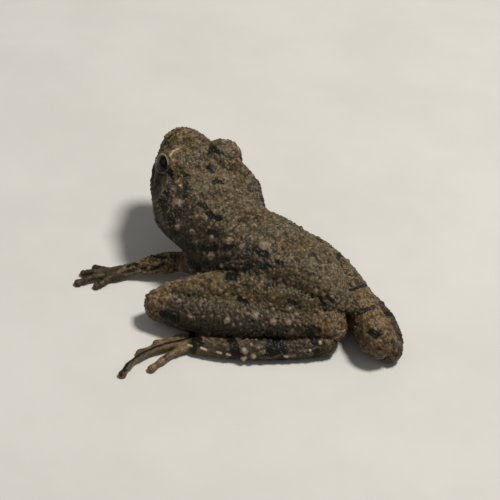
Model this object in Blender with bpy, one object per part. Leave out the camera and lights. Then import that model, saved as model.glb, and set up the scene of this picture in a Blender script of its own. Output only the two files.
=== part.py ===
"""Blanchard's cricket frog, sitting still with its head raised.

The animal faces -Y, its left side is +X, and the floor is z = 0.
The body is first modelled whole, then parted with thin cuts; each limb is
a run of tapered segments that stops a thin cut short of its neighbour.
"""
import bpy
import bmesh
import math
from mathutils import Vector, Matrix

for old in list(bpy.data.objects):
    bpy.data.objects.remove(old, do_unlink=True)

# ---------------------------------------------------------------- sizes
UNIT = 0.00106            # metres for one modelling unit (a bit over 1 mm)
CUT = 0.30                # width of the thin cuts between sub-parts
CENTRE_SHIFT = (-7.266, -4.747)  # moves the origin under the middle of the animal

# head: measured back from the snout tip, in the plane of the mouth line
SNOUT_TIP = (1.0, -9.4, 8.2)
HEAD_TURN = 20.0          # degrees turned to the animal's right
HEAD_PITCH = 24.0         # degrees raised
NECK_AT = 9.3             # distance of the neck cut behind the snout tip
EYE_BACK = 4.6            # eye centre behind the snout tip
EYE_OUT = 2.58            # eye centre beside the middle of the eyes
EYE_SHIFT = -0.17         # middle of the eyes beside the middle of the head
EYE_UP = 1.85             # eye centre above the mouth line
EYE_RADIUS = 1.25
EYE_GAP = 0.22
# distance back, half width, height above and depth below the mouth line
HEAD_SECTIONS = (
    (0.28, 0.30, 0.32, 0.25),
    (0.52, 0.95, 0.68, 0.48),
    (1.12, 1.66, 1.10, 0.70),
    (2.02, 2.36, 1.50, 0.90),
    (3.20, 3.14, 1.97, 1.10),
    (4.60, 3.86, 2.38, 1.25),
    (6.10, 4.36, 2.76, 1.45),
    (7.60, 4.62, 3.12, 1.65),
    (9.00, 4.62, 3.40, 1.95),
)
# trunk: x, y, z, turn, pitch, half width, height above, depth below
TRUNK_SECTIONS = (
    (4.15, 1.10, 4.35, 11.0, 12.0, 4.05, 3.35, 2.55),
    (4.10, 3.40, 4.30, 5.0, 7.0, 4.10, 3.35, 3.00),
    (3.80, 5.60, 4.25, -1.0, 4.0, 4.20, 3.15, 3.15),
    (3.25, 7.80, 4.20, -6.0, 2.0, 3.75, 3.05, 3.00),
    (2.70, 9.90, 4.12, -10.0, 0.0, 3.05, 3.02, 2.60),
    (2.30, 11.75, 3.98, -15.0, -4.0, 2.25, 2.42, 1.80),
    (2.12, 12.95, 3.78, -19.0, -8.0, 1.50, 1.50, 1.10),
    (2.02, 13.70, 3.58, -20.0, -8.0, 0.74, 0.70, 0.58),
    (1.98, 13.95, 3.52, -20.0, -8.0, 0.20, 0.20, 0.20),
)

# limbs: x, y, z, half width, half height
ARM = {
    "left": {
        "upper_arm": ((6.3, 3.0, 3.3, 1.25, 1.35), (7.0, 1.2, 2.6, 1.10, 1.20), (7.2, -0.5, 1.75, 0.88, 0.92)),
        "forearm": ((7.1, -0.8, 1.65, 0.78, 0.82), (9.0, -2.2, 1.25, 0.85, 0.80), (10.9, -3.45, 0.80, 0.52, 0.50)),
        "palm": ((11.1, -3.55, 0.72, 0.55, 0.48), (11.9, -4.0, 0.50, 0.78, 0.46), (12.6, -4.35, 0.36, 0.72, 0.42)),
        "fingers": (
            ((11.9, -4.4, 0.42, 0.32, 0.30), (12.5, -5.3, 0.40, 0.28, 0.28), (12.7, -5.9, 0.22, 0.30, 0.28)),
            ((12.4, -4.6, 0.42, 0.32, 0.30), (13.5, -5.4, 0.46, 0.28, 0.28), (14.0, -5.9, 0.22, 0.31, 0.28)),
            ((12.6, -4.4, 0.42, 0.34, 0.30), (14.0, -4.8, 0.50, 0.29, 0.28), (15.2, -5.2, 0.22, 0.32, 0.28)),
            ((12.5, -4.0, 0.42, 0.32, 0.30), (13.5, -3.8, 0.44, 0.28, 0.28), (14.2, -3.9, 0.22, 0.31, 0.28)),
        ),
    },
    "right": {
        "upper_arm": ((1.9, 3.0, 3.3, 1.20, 1.30), (0.6, 1.5, 2.6, 1.05, 1.15), (-0.2, -0.1, 1.75, 0.85, 0.90)),
        "forearm": ((-0.35, -0.4, 1.65, 0.78, 0.82), (-1.3, -2.0, 1.25, 0.85, 0.80), (-2.1, -3.6, 0.80, 0.52, 0.50)),
        "palm": ((-2.15, -3.8, 0.72, 0.55, 0.48), (-2.2, -4.7, 0.50, 0.78, 0.46), (-2.2, -5.4, 0.36, 0.72, 0.42)),
        "fingers": (
            ((-1.8, -5.1, 0.42, 0.32, 0.30), (-1.0, -5.6, 0.40, 0.28, 0.28), (-0.5, -6.0, 0.22, 0.30, 0.28)),
            ((-1.9, -5.5, 0.42, 0.32, 0.30), (-1.3, -6.5, 0.46, 0.28, 0.28), (-1.0, -7.2, 0.22, 0.31, 0.28)),
            ((-2.2, -5.7, 0.42, 0.34, 0.30), (-2.3, -7.0, 0.50, 0.29, 0.28), (-2.2, -8.2, 0.22, 0.32, 0.28)),
            ((-2.6, -5.5, 0.42, 0.32, 0.30), (-3.2, -6.3, 0.44, 0.28, 0.28), (-3.5, -7.0, 0.22, 0.31, 0.28)),
        ),
    },
}
LEG = {
    "left": {
        "thigh": ((3.7, 11.4, 3.95, 1.45, 1.50), (5.6, 9.0, 4.00, 1.65, 1.68), (7.9, 6.3, 3.65, 1.62, 1.66),
                  (10.2, 4.2, 2.90, 1.42, 1.52), (12.1, 2.75, 2.15, 1.22, 1.40)),
        "shank": ((12.8, 2.7, 1.92, 1.32, 1.48), (11.4, 5.2, 1.90, 1.46, 1.56), (9.1, 8.1, 1.95, 1.55, 1.65),
                  (6.1, 11.1, 2.05, 1.42, 1.52), (3.35, 13.5, 2.12, 1.32, 1.50)),
        "tarsus": ((4.3, 14.0, 1.02, 0.92, 1.06), (6.0, 13.2, 0.88, 0.80, 0.92), (7.7, 12.1, 0.84, 0.80, 0.88),
                   (9.8, 10.5, 0.82, 0.85, 0.86)),
        "metatarsus": ((10.0, 10.3, 0.80, 0.85, 0.84), (11.4, 8.8, 0.70, 0.95, 0.74), (12.6, 7.2, 0.55, 1.00, 0.60)),
        "toes": (
            ((12.0, 6.9, 0.50, 0.34, 0.32), (12.5, 5.9, 0.45, 0.29, 0.28), (13.1, 5.3, 0.22, 0.31, 0.28)),
            ((12.4, 6.8, 0.50, 0.36, 0.32), (13.6, 5.6, 0.46, 0.30, 0.28), (14.9, 4.8, 0.22, 0.31, 0.28)),
            ((12.6, 6.7, 0.50, 0.38, 0.33), (14.4, 5.6, 0.50, 0.31, 0.28), (16.8, 4.9, 0.22, 0.32, 0.28)),
            ((12.7, 6.9, 0.50, 0.40, 0.34), (14.3, 6.0, 0.58, 0.34, 0.30), (16.4, 5.5, 0.50, 0.31, 0.28),
             (18.2, 5.6, 0.40, 0.29, 0.27), (19.6, 6.1, 0.22, 0.32, 0.28)),
            ((12.8, 7.2, 0.50, 0.38, 0.33), (14.8, 6.8, 0.48, 0.31, 0.28), (17.3, 7.0, 0.22, 0.32, 0.28)),
        ),
        "web": ((12.3, 7.3, 0.45, 0.90, 0.34), (14.2, 6.1, 0.40, 1.05, 0.28), (15.6, 5.8, 0.34, 0.95, 0.26)),
    },
    "right": {
        "thigh": ((0.95, 10.9, 3.75, 1.22, 1.30), (0.85, 9.2, 3.50, 1.40, 1.46), (0.50, 7.2, 3.10, 1.40, 1.46),
                  (-0.25, 5.2, 2.68, 1.28, 1.38), (-1.15, 3.6, 2.20, 1.12, 1.28)),
        "shank": ((-2.0, 3.3, 1.95, 1.18, 1.36), (-2.15, 5.6, 2.05, 1.36, 1.46), (-1.62, 9.2, 2.12, 1.47, 1.54),
                  (-0.28, 13.0, 2.12, 1.60, 1.56), (1.38, 17.05, 2.00, 1.48, 1.52)),
        "tarsus": ((0.5, 17.9, 1.02, 0.92, 1.06), (-0.9, 16.6, 0.88, 0.80, 0.92), (-1.95, 14.8, 0.84, 0.78, 0.88),
                   (-2.5, 12.6, 0.82, 0.80, 0.86)),
        "metatarsus": ((-2.6, 12.3, 0.80, 0.78, 0.84), (-3.0, 10.4, 0.70, 0.86, 0.74), (-3.35, 8.6, 0.55, 0.90, 0.60)),
        "toes": (
            ((-3.0, 8.5, 0.50, 0.34, 0.32), (-3.05, 7.5, 0.45, 0.29, 0.28), (-3.3, 6.7, 0.22, 0.31, 0.28)),
            ((-3.2, 8.3, 0.50, 0.36, 0.32), (-3.35, 6.9, 0.46, 0.30, 0.28), (-3.55, 5.6, 0.22, 0.31, 0.28)),
            ((-3.4, 8.2, 0.50, 0.38, 0.33), (-3.7, 6.2, 0.50, 0.31, 0.28), (-3.85, 4.0, 0.22, 0.32, 0.28)),
            ((-3.55, 8.3, 0.50, 0.40, 0.34), (-4.1, 6.4, 0.56, 0.34, 0.30), (-4.4, 4.4, 0.50, 0.31, 0.28),
             (-4.45, 2.6, 0.40, 0.29, 0.27), (-4.3, 1.2, 0.22, 0.32, 0.28)),
            ((-3.75, 8.5, 0.50, 0.38, 0.33), (-4.5, 6.8, 0.48, 0.31, 0.28), (-5.0, 4.9, 0.22, 0.32, 0.28)),
        ),
        "web": ((-3.35, 8.8, 0.42, 0.85, 0.34), (-3.7, 6.9, 0.38, 0.90, 0.28), (-3.95, 5.7, 0.34, 0.80, 0.26)),
    },
}

SKIN_COLOURS = {
    "head": (0.165, 0.138, 0.100), "lower_jaw": (0.270, 0.215, 0.150), "trunk": (0.150, 0.128, 0.095),
    "upper_arm": (0.210, 0.165, 0.110), "forearm": (0.200, 0.150, 0.095), "hand": (0.180, 0.125, 0.080),
    "thigh": (0.205, 0.165, 0.105), "shank": (0.160, 0.135, 0.100), "tarsus": (0.215, 0.165, 0.125),
    "foot": (0.230, 0.165, 0.100),
}


# ---------------------------------------------------------------- curves
def blend(rows, steps):
    """Smooth run through the rows of values."""
    out = []
    n = len(rows)
    for i in range(n - 1):
        p0 = rows[i - 1] if i else tuple(2 * a - b for a, b in zip(rows[0], rows[1]))
        p1, p2 = rows[i], rows[i + 1]
        p3 = rows[i + 2] if i + 2 < n else tuple(2 * a - b for a, b in zip(rows[-1], rows[-2]))
        for k in range(steps):
            t = k / steps
            out.append(tuple(0.5 * (2 * b + (c - a) * t + (2 * a - 5 * b + 4 * c - d) * t * t
                                    + (3 * b - a - 3 * c + d) * t ** 3)
                             for a, b, c, d in zip(p0, p1, p2, p3)))
    out.append(tuple(rows[-1]))
    return out


def shaped(value, power):
    return math.copysign(abs(value) ** power, value)


def skin_rings(bm, rings):
    """Join closed rings of points into one closed body."""
    rows = [[bm.verts.new(p) for p in ring] for ring in rings]
    n = len(rows[0])
    for a, b in zip(rows, rows[1:]):
        for i in range(n):
            bm.faces.new((a[i], a[(i + 1) % n], b[(i + 1) % n], b[i]))
    bm.faces.new(rows[0])
    bm.faces.new(list(reversed(rows[-1])))


def limb_rings(rows, seg, steps, grow=0.0):
    """Rings of a tapered segment with rounded ends."""
    path = blend(rows, steps)
    pts = [Vector(r[:3]) for r in path]
    rings = []

    def ring(centre, tangent, w, h):
        side = tangent.cross(Vector((0, 0, 1)))
        side.normalize()
        up = side.cross(tangent)
        return [centre + side * (w * math.cos(2 * math.pi * k / seg)) + up * (h * math.sin(2 * math.pi * k / seg))
                for k in range(seg)]

    first = (pts[1] - pts[0]).normalized()
    last = (pts[-1] - pts[-2]).normalized()
    w0, h0 = path[0][3] + grow, path[0][4] + grow
    w1, h1 = path[-1][3] + grow, path[-1][4] + grow
    for a in (80, 52, 26):
        c, s = math.cos(math.radians(a)), math.sin(math.radians(a))
        rings.append(ring(pts[0] - first * (min(w0, h0) * s), first, w0 * c, h0 * c))
    for i, p in enumerate(pts):
        t = first if i == 0 else last if i == len(pts) - 1 else (pts[i + 1] - pts[i - 1]).normalized()
        rings.append(ring(p, t, path[i][3] + grow, path[i][4] + grow))
    for a in (26, 52, 80):
        c, s = math.cos(math.radians(a)), math.sin(math.radians(a))
        rings.append(ring(pts[-1] + last * (min(w1, h1) * s), last, w1 * c, h1 * c))
    return rings


def head_axes():
    t, p = math.radians(HEAD_TURN), math.radians(HEAD_PITCH)
    back = Vector((math.sin(t) * math.cos(p), math.cos(t) * math.cos(p), -math.sin(p)))
    left = Vector((math.cos(t), -math.sin(t), 0.0))
    up = Vector((math.sin(t) * math.sin(p), math.cos(t) * math.sin(p), math.cos(p)))
    return back, left, up


def head_point(s, out, up):
    b, l, u = head_axes()
    return Vector(SNOUT_TIP) + b * s + l * out + u * up


def body_rows():
    rows = []
    for s, w, top, low in HEAD_SECTIONS:
        p = head_point(s, 0, 0)
        rows.append((p.x, p.y, p.z, HEAD_TURN, HEAD_PITCH, w, top, low))
    return rows + [tuple(r) for r in TRUNK_SECTIONS]


def body_rings(seg, steps, grow=0.0):
    rings = []
    for x, y, z, turn, pitch, w, top, low in blend(body_rows(), steps):
        t, p = math.radians(turn), math.radians(pitch)
        left = Vector((math.cos(t), -math.sin(t), 0.0))
        up = Vector((math.sin(t) * math.sin(p), math.cos(t) * math.sin(p), math.cos(p)))
        ring = []
        for k in range(seg):
            a = 2 * math.pi * k / seg
            c, s = math.cos(a), math.sin(a)
            rise = (top if s > 0 else low) + grow
            ring.append(Vector((x, y, z)) + left * ((w + grow) * shaped(c, 0.92)) + up * (rise * shaped(s, 0.95)))
        rings.append(ring)
    return rings


# ---------------------------------------------------------------- solids
def add_ball(bm, centre, radii, axes=None, seg=24, rows=14):
    turn = Matrix.Identity(3)
    if axes:
        turn = Matrix(axes).transposed()
    m = Matrix.Translation(centre) @ turn.to_4x4() @ Matrix.Diagonal((radii[0], radii[1], radii[2], 1.0))
    bmesh.ops.create_uvsphere(bm, u_segments=seg, v_segments=rows, radius=1.0, matrix=m)


def to_object(name, bm):
    bmesh.ops.recalc_face_normals(bm, faces=bm.faces)
    mesh = bpy.data.meshes.new(name)
    bm.to_mesh(mesh)
    bm.free()
    obj = bpy.data.objects.new(name, mesh)
    bpy.context.collection.objects.link(obj)
    return obj


def settle(obj):
    """Turn the modifiers into plain shape."""
    bpy.context.view_layer.update()
    deps = bpy.context.evaluated_depsgraph_get()
    mesh = bpy.data.meshes.new_from_object(obj.evaluated_get(deps))
    obj.modifiers.clear()
    old = obj.data
    obj.data = mesh
    bpy.data.meshes.remove(old)
    return obj


def fuse(obj, voxel, rounds, faces):
    """Melt overlapping bodies into one smooth body with about this many triangles."""
    m = obj.modifiers.new("melt", 'REMESH')
    m.mode = 'VOXEL'
    m.voxel_size = voxel
    if rounds:
        m = obj.modifiers.new("even", 'SMOOTH')
        m.factor = 0.5
        m.iterations = rounds
    settle(obj)
    count = sum(len(p.vertices) - 2 for p in obj.data.polygons)
    m = obj.modifiers.new("thin", 'DECIMATE')
    m.ratio = min(1.0, faces / count)
    return settle(obj)


def cut_away(obj, cutters):
    for c in cutters:
        m = obj.modifiers.new("cut", 'BOOLEAN')
        m.operation = 'DIFFERENCE'
        m.solver = 'EXACT'
        m.object = c
    settle(obj)
    for c in cutters:
        bpy.data.objects.remove(c, do_unlink=True)
    return obj


def keep_side(obj, point, normal):
    """Keep what lies on the side the normal points to, closed with a flat."""
    bm = bmesh.new()
    bm.from_mesh(obj.data)
    bmesh.ops.bisect_plane(bm, geom=bm.verts[:] + bm.edges[:] + bm.faces[:], plane_co=point, plane_no=normal,
                           clear_inner=True, dist=0.0005)
    rim = [e for e in bm.edges if e.is_boundary]
    if rim:
        bmesh.ops.holes_fill(bm, edges=rim, sides=0)
    bmesh.ops.triangulate(bm, faces=[f for f in bm.faces if len(f.verts) > 4])
    bmesh.ops.recalc_face_normals(bm, faces=bm.faces)
    bm.to_mesh(obj.data)
    bm.free()
    return obj


def largest_piece(obj):
    bm = bmesh.new()
    bm.from_mesh(obj.data)
    left = set(bm.verts)
    groups = []
    while left:
        seed = next(iter(sorted(left, key=lambda v: v.index)))
        group, stack = {seed}, [seed]
        while stack:
            v = stack.pop()
            for e in v.link_edges:
                w = e.other_vert(v)
                if w not in group:
                    group.add(w)
                    stack.append(w)
        left -= group
        groups.append(group)
    groups.sort(key=len, reverse=True)
    for g in groups[1:]:
        bmesh.ops.delete(bm, geom=list(g), context='VERTS')
    bm.to_mesh(obj.data)
    bm.free()
    return obj


def copy_of(obj, name):
    twin = bpy.data.objects.new(name, obj.data.copy())
    bpy.context.collection.objects.link(twin)
    return twin


def segment(name, rows, seg=14, steps=3, grow=0.0):
    bm = bmesh.new()
    skin_rings(bm, limb_rings(rows, seg, steps, grow))
    return to_object(name, bm)


def trunk_cutter(grow):
    bm = bmesh.new()
    skin_rings(bm, body_rings(24, 1, grow))
    return to_object("trunk_cutter", bm)


# ---------------------------------------------------------------- body
bm = bmesh.new()
skin_rings(bm, body_rings(48, 3))
back, left, up = head_axes()
for sign in (1, -1):
    # brow over each eye
    add_ball(bm, head_point(EYE_BACK + 0.25, EYE_SHIFT + sign * (EYE_OUT - 0.62), EYE_UP + 0.12), (1.62, 1.82, 1.30), (left, back, up))
    # fold from the eye over the ear to the shoulder
    add_ball(bm, head_point(6.6, sign * 3.45, 1.45), (0.85, 1.9, 1.0), (left, back, up))
    add_ball(bm, head_point(8.2, sign * 3.85, 1.2), (0.95, 2.7, 1.0), (left, back, up))
# level crown between the brows
add_ball(bm, head_point(5.0, EYE_SHIFT, 1.98), (2.3, 2.0, 0.80), (left, back, up))
whole = to_object("whole", bm)
fuse(whole, 0.20, 4, 2220)

neck_point = head_point(NECK_AT, 0, 0)
trunk = copy_of(whole, "trunk")
keep_side(trunk, neck_point + back * (CUT / 2), back)
front = copy_of(whole, "head")
keep_side(front, neck_point - back * (CUT / 2), -back)
head = front
lower_jaw = copy_of(front, "lower_jaw")
keep_side(head, head_point(0, 0, 0.05 + CUT / 2), up)
keep_side(lower_jaw, head_point(0, 0, 0.05 - CUT / 2), -up)
bpy.data.objects.remove(whole, do_unlink=True)

eyes = {}
for side, sign in (("left", 1), ("right", -1)):
    centre = head_point(EYE_BACK, EYE_SHIFT + sign * EYE_OUT, EYE_UP)
    bm = bmesh.new()
    add_ball(bm, centre, (EYE_RADIUS + EYE_GAP,) * 3, (back, up, left), 18, 11)
    cut_away(head, [to_object("socket", bm)])
    bm = bmesh.new()
    add_ball(bm, centre, (EYE_RADIUS,) * 3, (back, up, left), 14, 7)
    eyes[side] = to_object("eye_" + side, bm)
largest_piece(head)
largest_piece(lower_jaw)
largest_piece(trunk)

# ---------------------------------------------------------------- limbs
parts = {"head": head, "lower_jaw": lower_jaw, "trunk": trunk}
for side in ("left", "right"):
    a, g = ARM[side], LEG[side]
    thigh = segment("thigh_" + side, g["thigh"], 12, 2)
    if side == "left":
        cut_away(thigh, [trunk_cutter(CUT)])
    else:
        # the far thigh is pressed into the flank
        cut_away(trunk, [segment("groove", g["thigh"], 12, 2, CUT)])
    shank = segment("shank_" + side, g["shank"], 12, 2)
    cut_away(shank, [segment("c1", g["thigh"], 12, 2, CUT), trunk_cutter(CUT)])
    tarsus = segment("tarsus_" + side, g["tarsus"], 12, 2)
    cut_away(tarsus, [segment("c1", g["shank"], 12, 2, CUT), segment("c2", g["thigh"], 12, 2, CUT)])

    bm = bmesh.new()
    skin_rings(bm, limb_rings(g["metatarsus"], 16, 4))
    skin_rings(bm, limb_rings(g["web"], 16, 4))
    for toe in g["toes"]:
        skin_rings(bm, limb_rings(toe, 10, 4))
    foot = to_object("foot_" + side, bm)
    fuse(foot, 0.11, 2, 480)
    cut_away(foot, [segment("c1", g["tarsus"], 12, 2, CUT), segment("c2", g["shank"], 12, 2, CUT)])

    upper_arm = segment("upper_arm_" + side, a["upper_arm"], 12, 2)
    cut_away(upper_arm, [trunk_cutter(CUT)])
    forearm = segment("forearm_" + side, a["forearm"], 12, 2)
    cut_away(forearm, [segment("c1", a["upper_arm"], 12, 2, CUT), trunk_cutter(CUT)])

    bm = bmesh.new()
    skin_rings(bm, limb_rings(a["palm"], 14, 4))
    for finger in a["fingers"]:
        skin_rings(bm, limb_rings(finger, 10, 4))
    hand = to_object("hand_" + side, bm)
    fuse(hand, 0.11, 2, 350)
    cut_away(hand, [segment("c1", a["forearm"], 12, 2, CUT)])

    for key, obj in (("thigh", thigh), ("shank", shank), ("tarsus", tarsus), ("foot", foot),
                     ("upper_arm", upper_arm), ("forearm", forearm), ("hand", hand)):
        keep_side(obj, Vector((0, 0, 0)), Vector((0, 0, 1)))
        largest_piece(obj)
        parts[key + "_" + side] = obj


# ---------------------------------------------------------------- finish
def material(name, colour, rough):
    m = bpy.data.materials.new(name)
    m.use_nodes = True
    b = m.node_tree.nodes["Principled BSDF"]
    b.inputs["Base Color"].default_value = (*colour, 1.0)
    b.inputs["Roughness"].default_value = rough
    return m


for name, obj in parts.items():
    key = name.replace("_left", "").replace("_right", "")
    obj.data.materials.clear()
    obj.data.materials.append(material("skin_" + name, SKIN_COLOURS[key], 0.55))
for side, obj in eyes.items():
    obj.data.materials.append(material("eye_" + side + "_surface", (0.012, 0.010, 0.008), 0.12))
    parts["eye_" + side] = obj

for name, obj in parts.items():
    obj.name = name
    obj.data.transform(Matrix.Diagonal((UNIT, UNIT, UNIT, 1.0)) @ Matrix.Translation((CENTRE_SHIFT[0], CENTRE_SHIFT[1], 0.0)))
    for f in obj.data.polygons:
        f.use_smooth = True
    obj.data.update()
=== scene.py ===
"""Blanchard's cricket frog: one seamless skin, two eyes, floor, light and camera.

Lengths are in modelling units of UNIT metres until the mesh is finished.
The animal faces -Y, its left side is +X, and the floor is z = 0.
"""
import math

import bmesh
import bpy
import numpy as np
from mathutils import Matrix, Vector
from mathutils.bvhtree import BVHTree
from mathutils.kdtree import KDTree


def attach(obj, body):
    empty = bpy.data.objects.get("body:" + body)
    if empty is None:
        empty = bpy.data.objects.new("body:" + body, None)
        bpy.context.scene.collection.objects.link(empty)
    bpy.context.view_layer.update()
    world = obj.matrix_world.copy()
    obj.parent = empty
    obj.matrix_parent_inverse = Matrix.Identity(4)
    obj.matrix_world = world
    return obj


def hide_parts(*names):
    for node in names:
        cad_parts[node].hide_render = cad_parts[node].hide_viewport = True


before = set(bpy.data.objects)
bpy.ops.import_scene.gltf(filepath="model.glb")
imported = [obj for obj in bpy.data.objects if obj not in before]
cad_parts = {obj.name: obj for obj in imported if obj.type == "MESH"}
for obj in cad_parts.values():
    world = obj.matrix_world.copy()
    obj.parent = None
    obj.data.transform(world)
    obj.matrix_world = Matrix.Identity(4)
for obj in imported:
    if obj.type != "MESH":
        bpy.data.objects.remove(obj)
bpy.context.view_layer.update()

# ---------------------------------------------------------------- sizes
UNIT = 0.00106
CENTRE_SHIFT = (-7.266, -4.747)
VOXEL = 0.068

SNOUT_TIP = (1.0, -9.4, 8.2)
HEAD_TURN = 20.0
HEAD_PITCH = 24.0
EYE_BACK = 4.6
EYE_OUT = 2.58
EYE_SHIFT = -0.17
EYE_UP = 1.85
EYE_RADIUS = 1.25
# distance back, half width, height above and depth below the mouth line
HEAD_SECTIONS = (
    (0.28, 0.30, 0.32, 0.25),
    (0.52, 0.95, 0.68, 0.48),
    (1.12, 1.66, 1.10, 0.70),
    (2.02, 2.36, 1.50, 0.90),
    (3.20, 3.14, 1.97, 1.10),
    (4.60, 3.86, 2.38, 1.25),
    (6.10, 4.36, 2.76, 1.45),
    (7.60, 4.62, 3.12, 1.65),
    (9.00, 4.62, 3.40, 1.95),
)
# x, y, z, turn, pitch, half width, height above, depth below
TRUNK_SECTIONS = (
    (4.15, 1.10, 4.35, 11.0, 12.0, 4.05, 3.35, 2.55),
    (4.10, 3.40, 4.30, 5.0, 7.0, 4.10, 3.35, 3.00),
    (3.80, 5.60, 4.25, -1.0, 4.0, 4.20, 3.15, 3.15),
    (3.25, 7.80, 4.20, -6.0, 2.0, 3.75, 3.05, 3.00),
    (2.70, 9.90, 4.12, -10.0, 0.0, 3.05, 3.02, 2.60),
    (2.30, 11.75, 3.98, -15.0, -4.0, 2.25, 2.42, 1.80),
    (2.12, 12.95, 3.78, -19.0, -8.0, 1.50, 1.50, 1.10),
    (2.02, 13.70, 3.58, -20.0, -8.0, 0.74, 0.70, 0.58),
    (1.98, 13.95, 3.52, -20.0, -8.0, 0.20, 0.20, 0.20),
)

# limbs: x, y, z, half width, half height
ARM = {
    "left": {
        "upper_arm": ((6.3, 3.0, 3.3, 1.25, 1.35), (7.0, 1.2, 2.6, 1.10, 1.20), (7.2, -0.5, 1.75, 0.88, 0.92)),
        "forearm": ((7.1, -0.8, 1.65, 0.78, 0.82), (9.0, -2.2, 1.25, 0.85, 0.80), (10.9, -3.45, 0.80, 0.52, 0.50)),
        "palm": ((11.1, -3.55, 0.72, 0.55, 0.48), (11.9, -4.0, 0.50, 0.78, 0.46), (12.6, -4.35, 0.36, 0.72, 0.42)),
        "fingers": (
            ((11.9, -4.4, 0.42, 0.32, 0.30), (12.5, -5.3, 0.40, 0.28, 0.28), (12.7, -5.9, 0.22, 0.30, 0.28)),
            ((12.4, -4.6, 0.42, 0.32, 0.30), (13.5, -5.4, 0.46, 0.28, 0.28), (14.0, -5.9, 0.22, 0.31, 0.28)),
            ((12.6, -4.4, 0.42, 0.34, 0.30), (14.0, -4.8, 0.50, 0.29, 0.28), (15.2, -5.2, 0.22, 0.32, 0.28)),
            ((12.5, -4.0, 0.42, 0.32, 0.30), (13.5, -3.8, 0.44, 0.28, 0.28), (14.2, -3.9, 0.22, 0.31, 0.28)),
        ),
    },
    "right": {
        "upper_arm": ((1.9, 3.0, 3.3, 1.20, 1.30), (0.6, 1.5, 2.6, 1.05, 1.15), (-0.2, -0.1, 1.75, 0.85, 0.90)),
        "forearm": ((-0.35, -0.4, 1.65, 0.78, 0.82), (-1.3, -2.0, 1.25, 0.85, 0.80), (-2.1, -3.6, 0.80, 0.52, 0.50)),
        "palm": ((-2.15, -3.8, 0.72, 0.55, 0.48), (-2.2, -4.7, 0.50, 0.78, 0.46), (-2.2, -5.4, 0.36, 0.72, 0.42)),
        "fingers": (
            ((-1.8, -5.1, 0.42, 0.32, 0.30), (-1.0, -5.6, 0.40, 0.28, 0.28), (-0.5, -6.0, 0.22, 0.30, 0.28)),
            ((-1.9, -5.5, 0.42, 0.32, 0.30), (-1.3, -6.5, 0.46, 0.28, 0.28), (-1.0, -7.2, 0.22, 0.31, 0.28)),
            ((-2.2, -5.7, 0.42, 0.34, 0.30), (-2.3, -7.0, 0.50, 0.29, 0.28), (-2.2, -8.2, 0.22, 0.32, 0.28)),
            ((-2.6, -5.5, 0.42, 0.32, 0.30), (-3.2, -6.3, 0.44, 0.28, 0.28), (-3.5, -7.0, 0.22, 0.31, 0.28)),
        ),
    },
}
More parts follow.
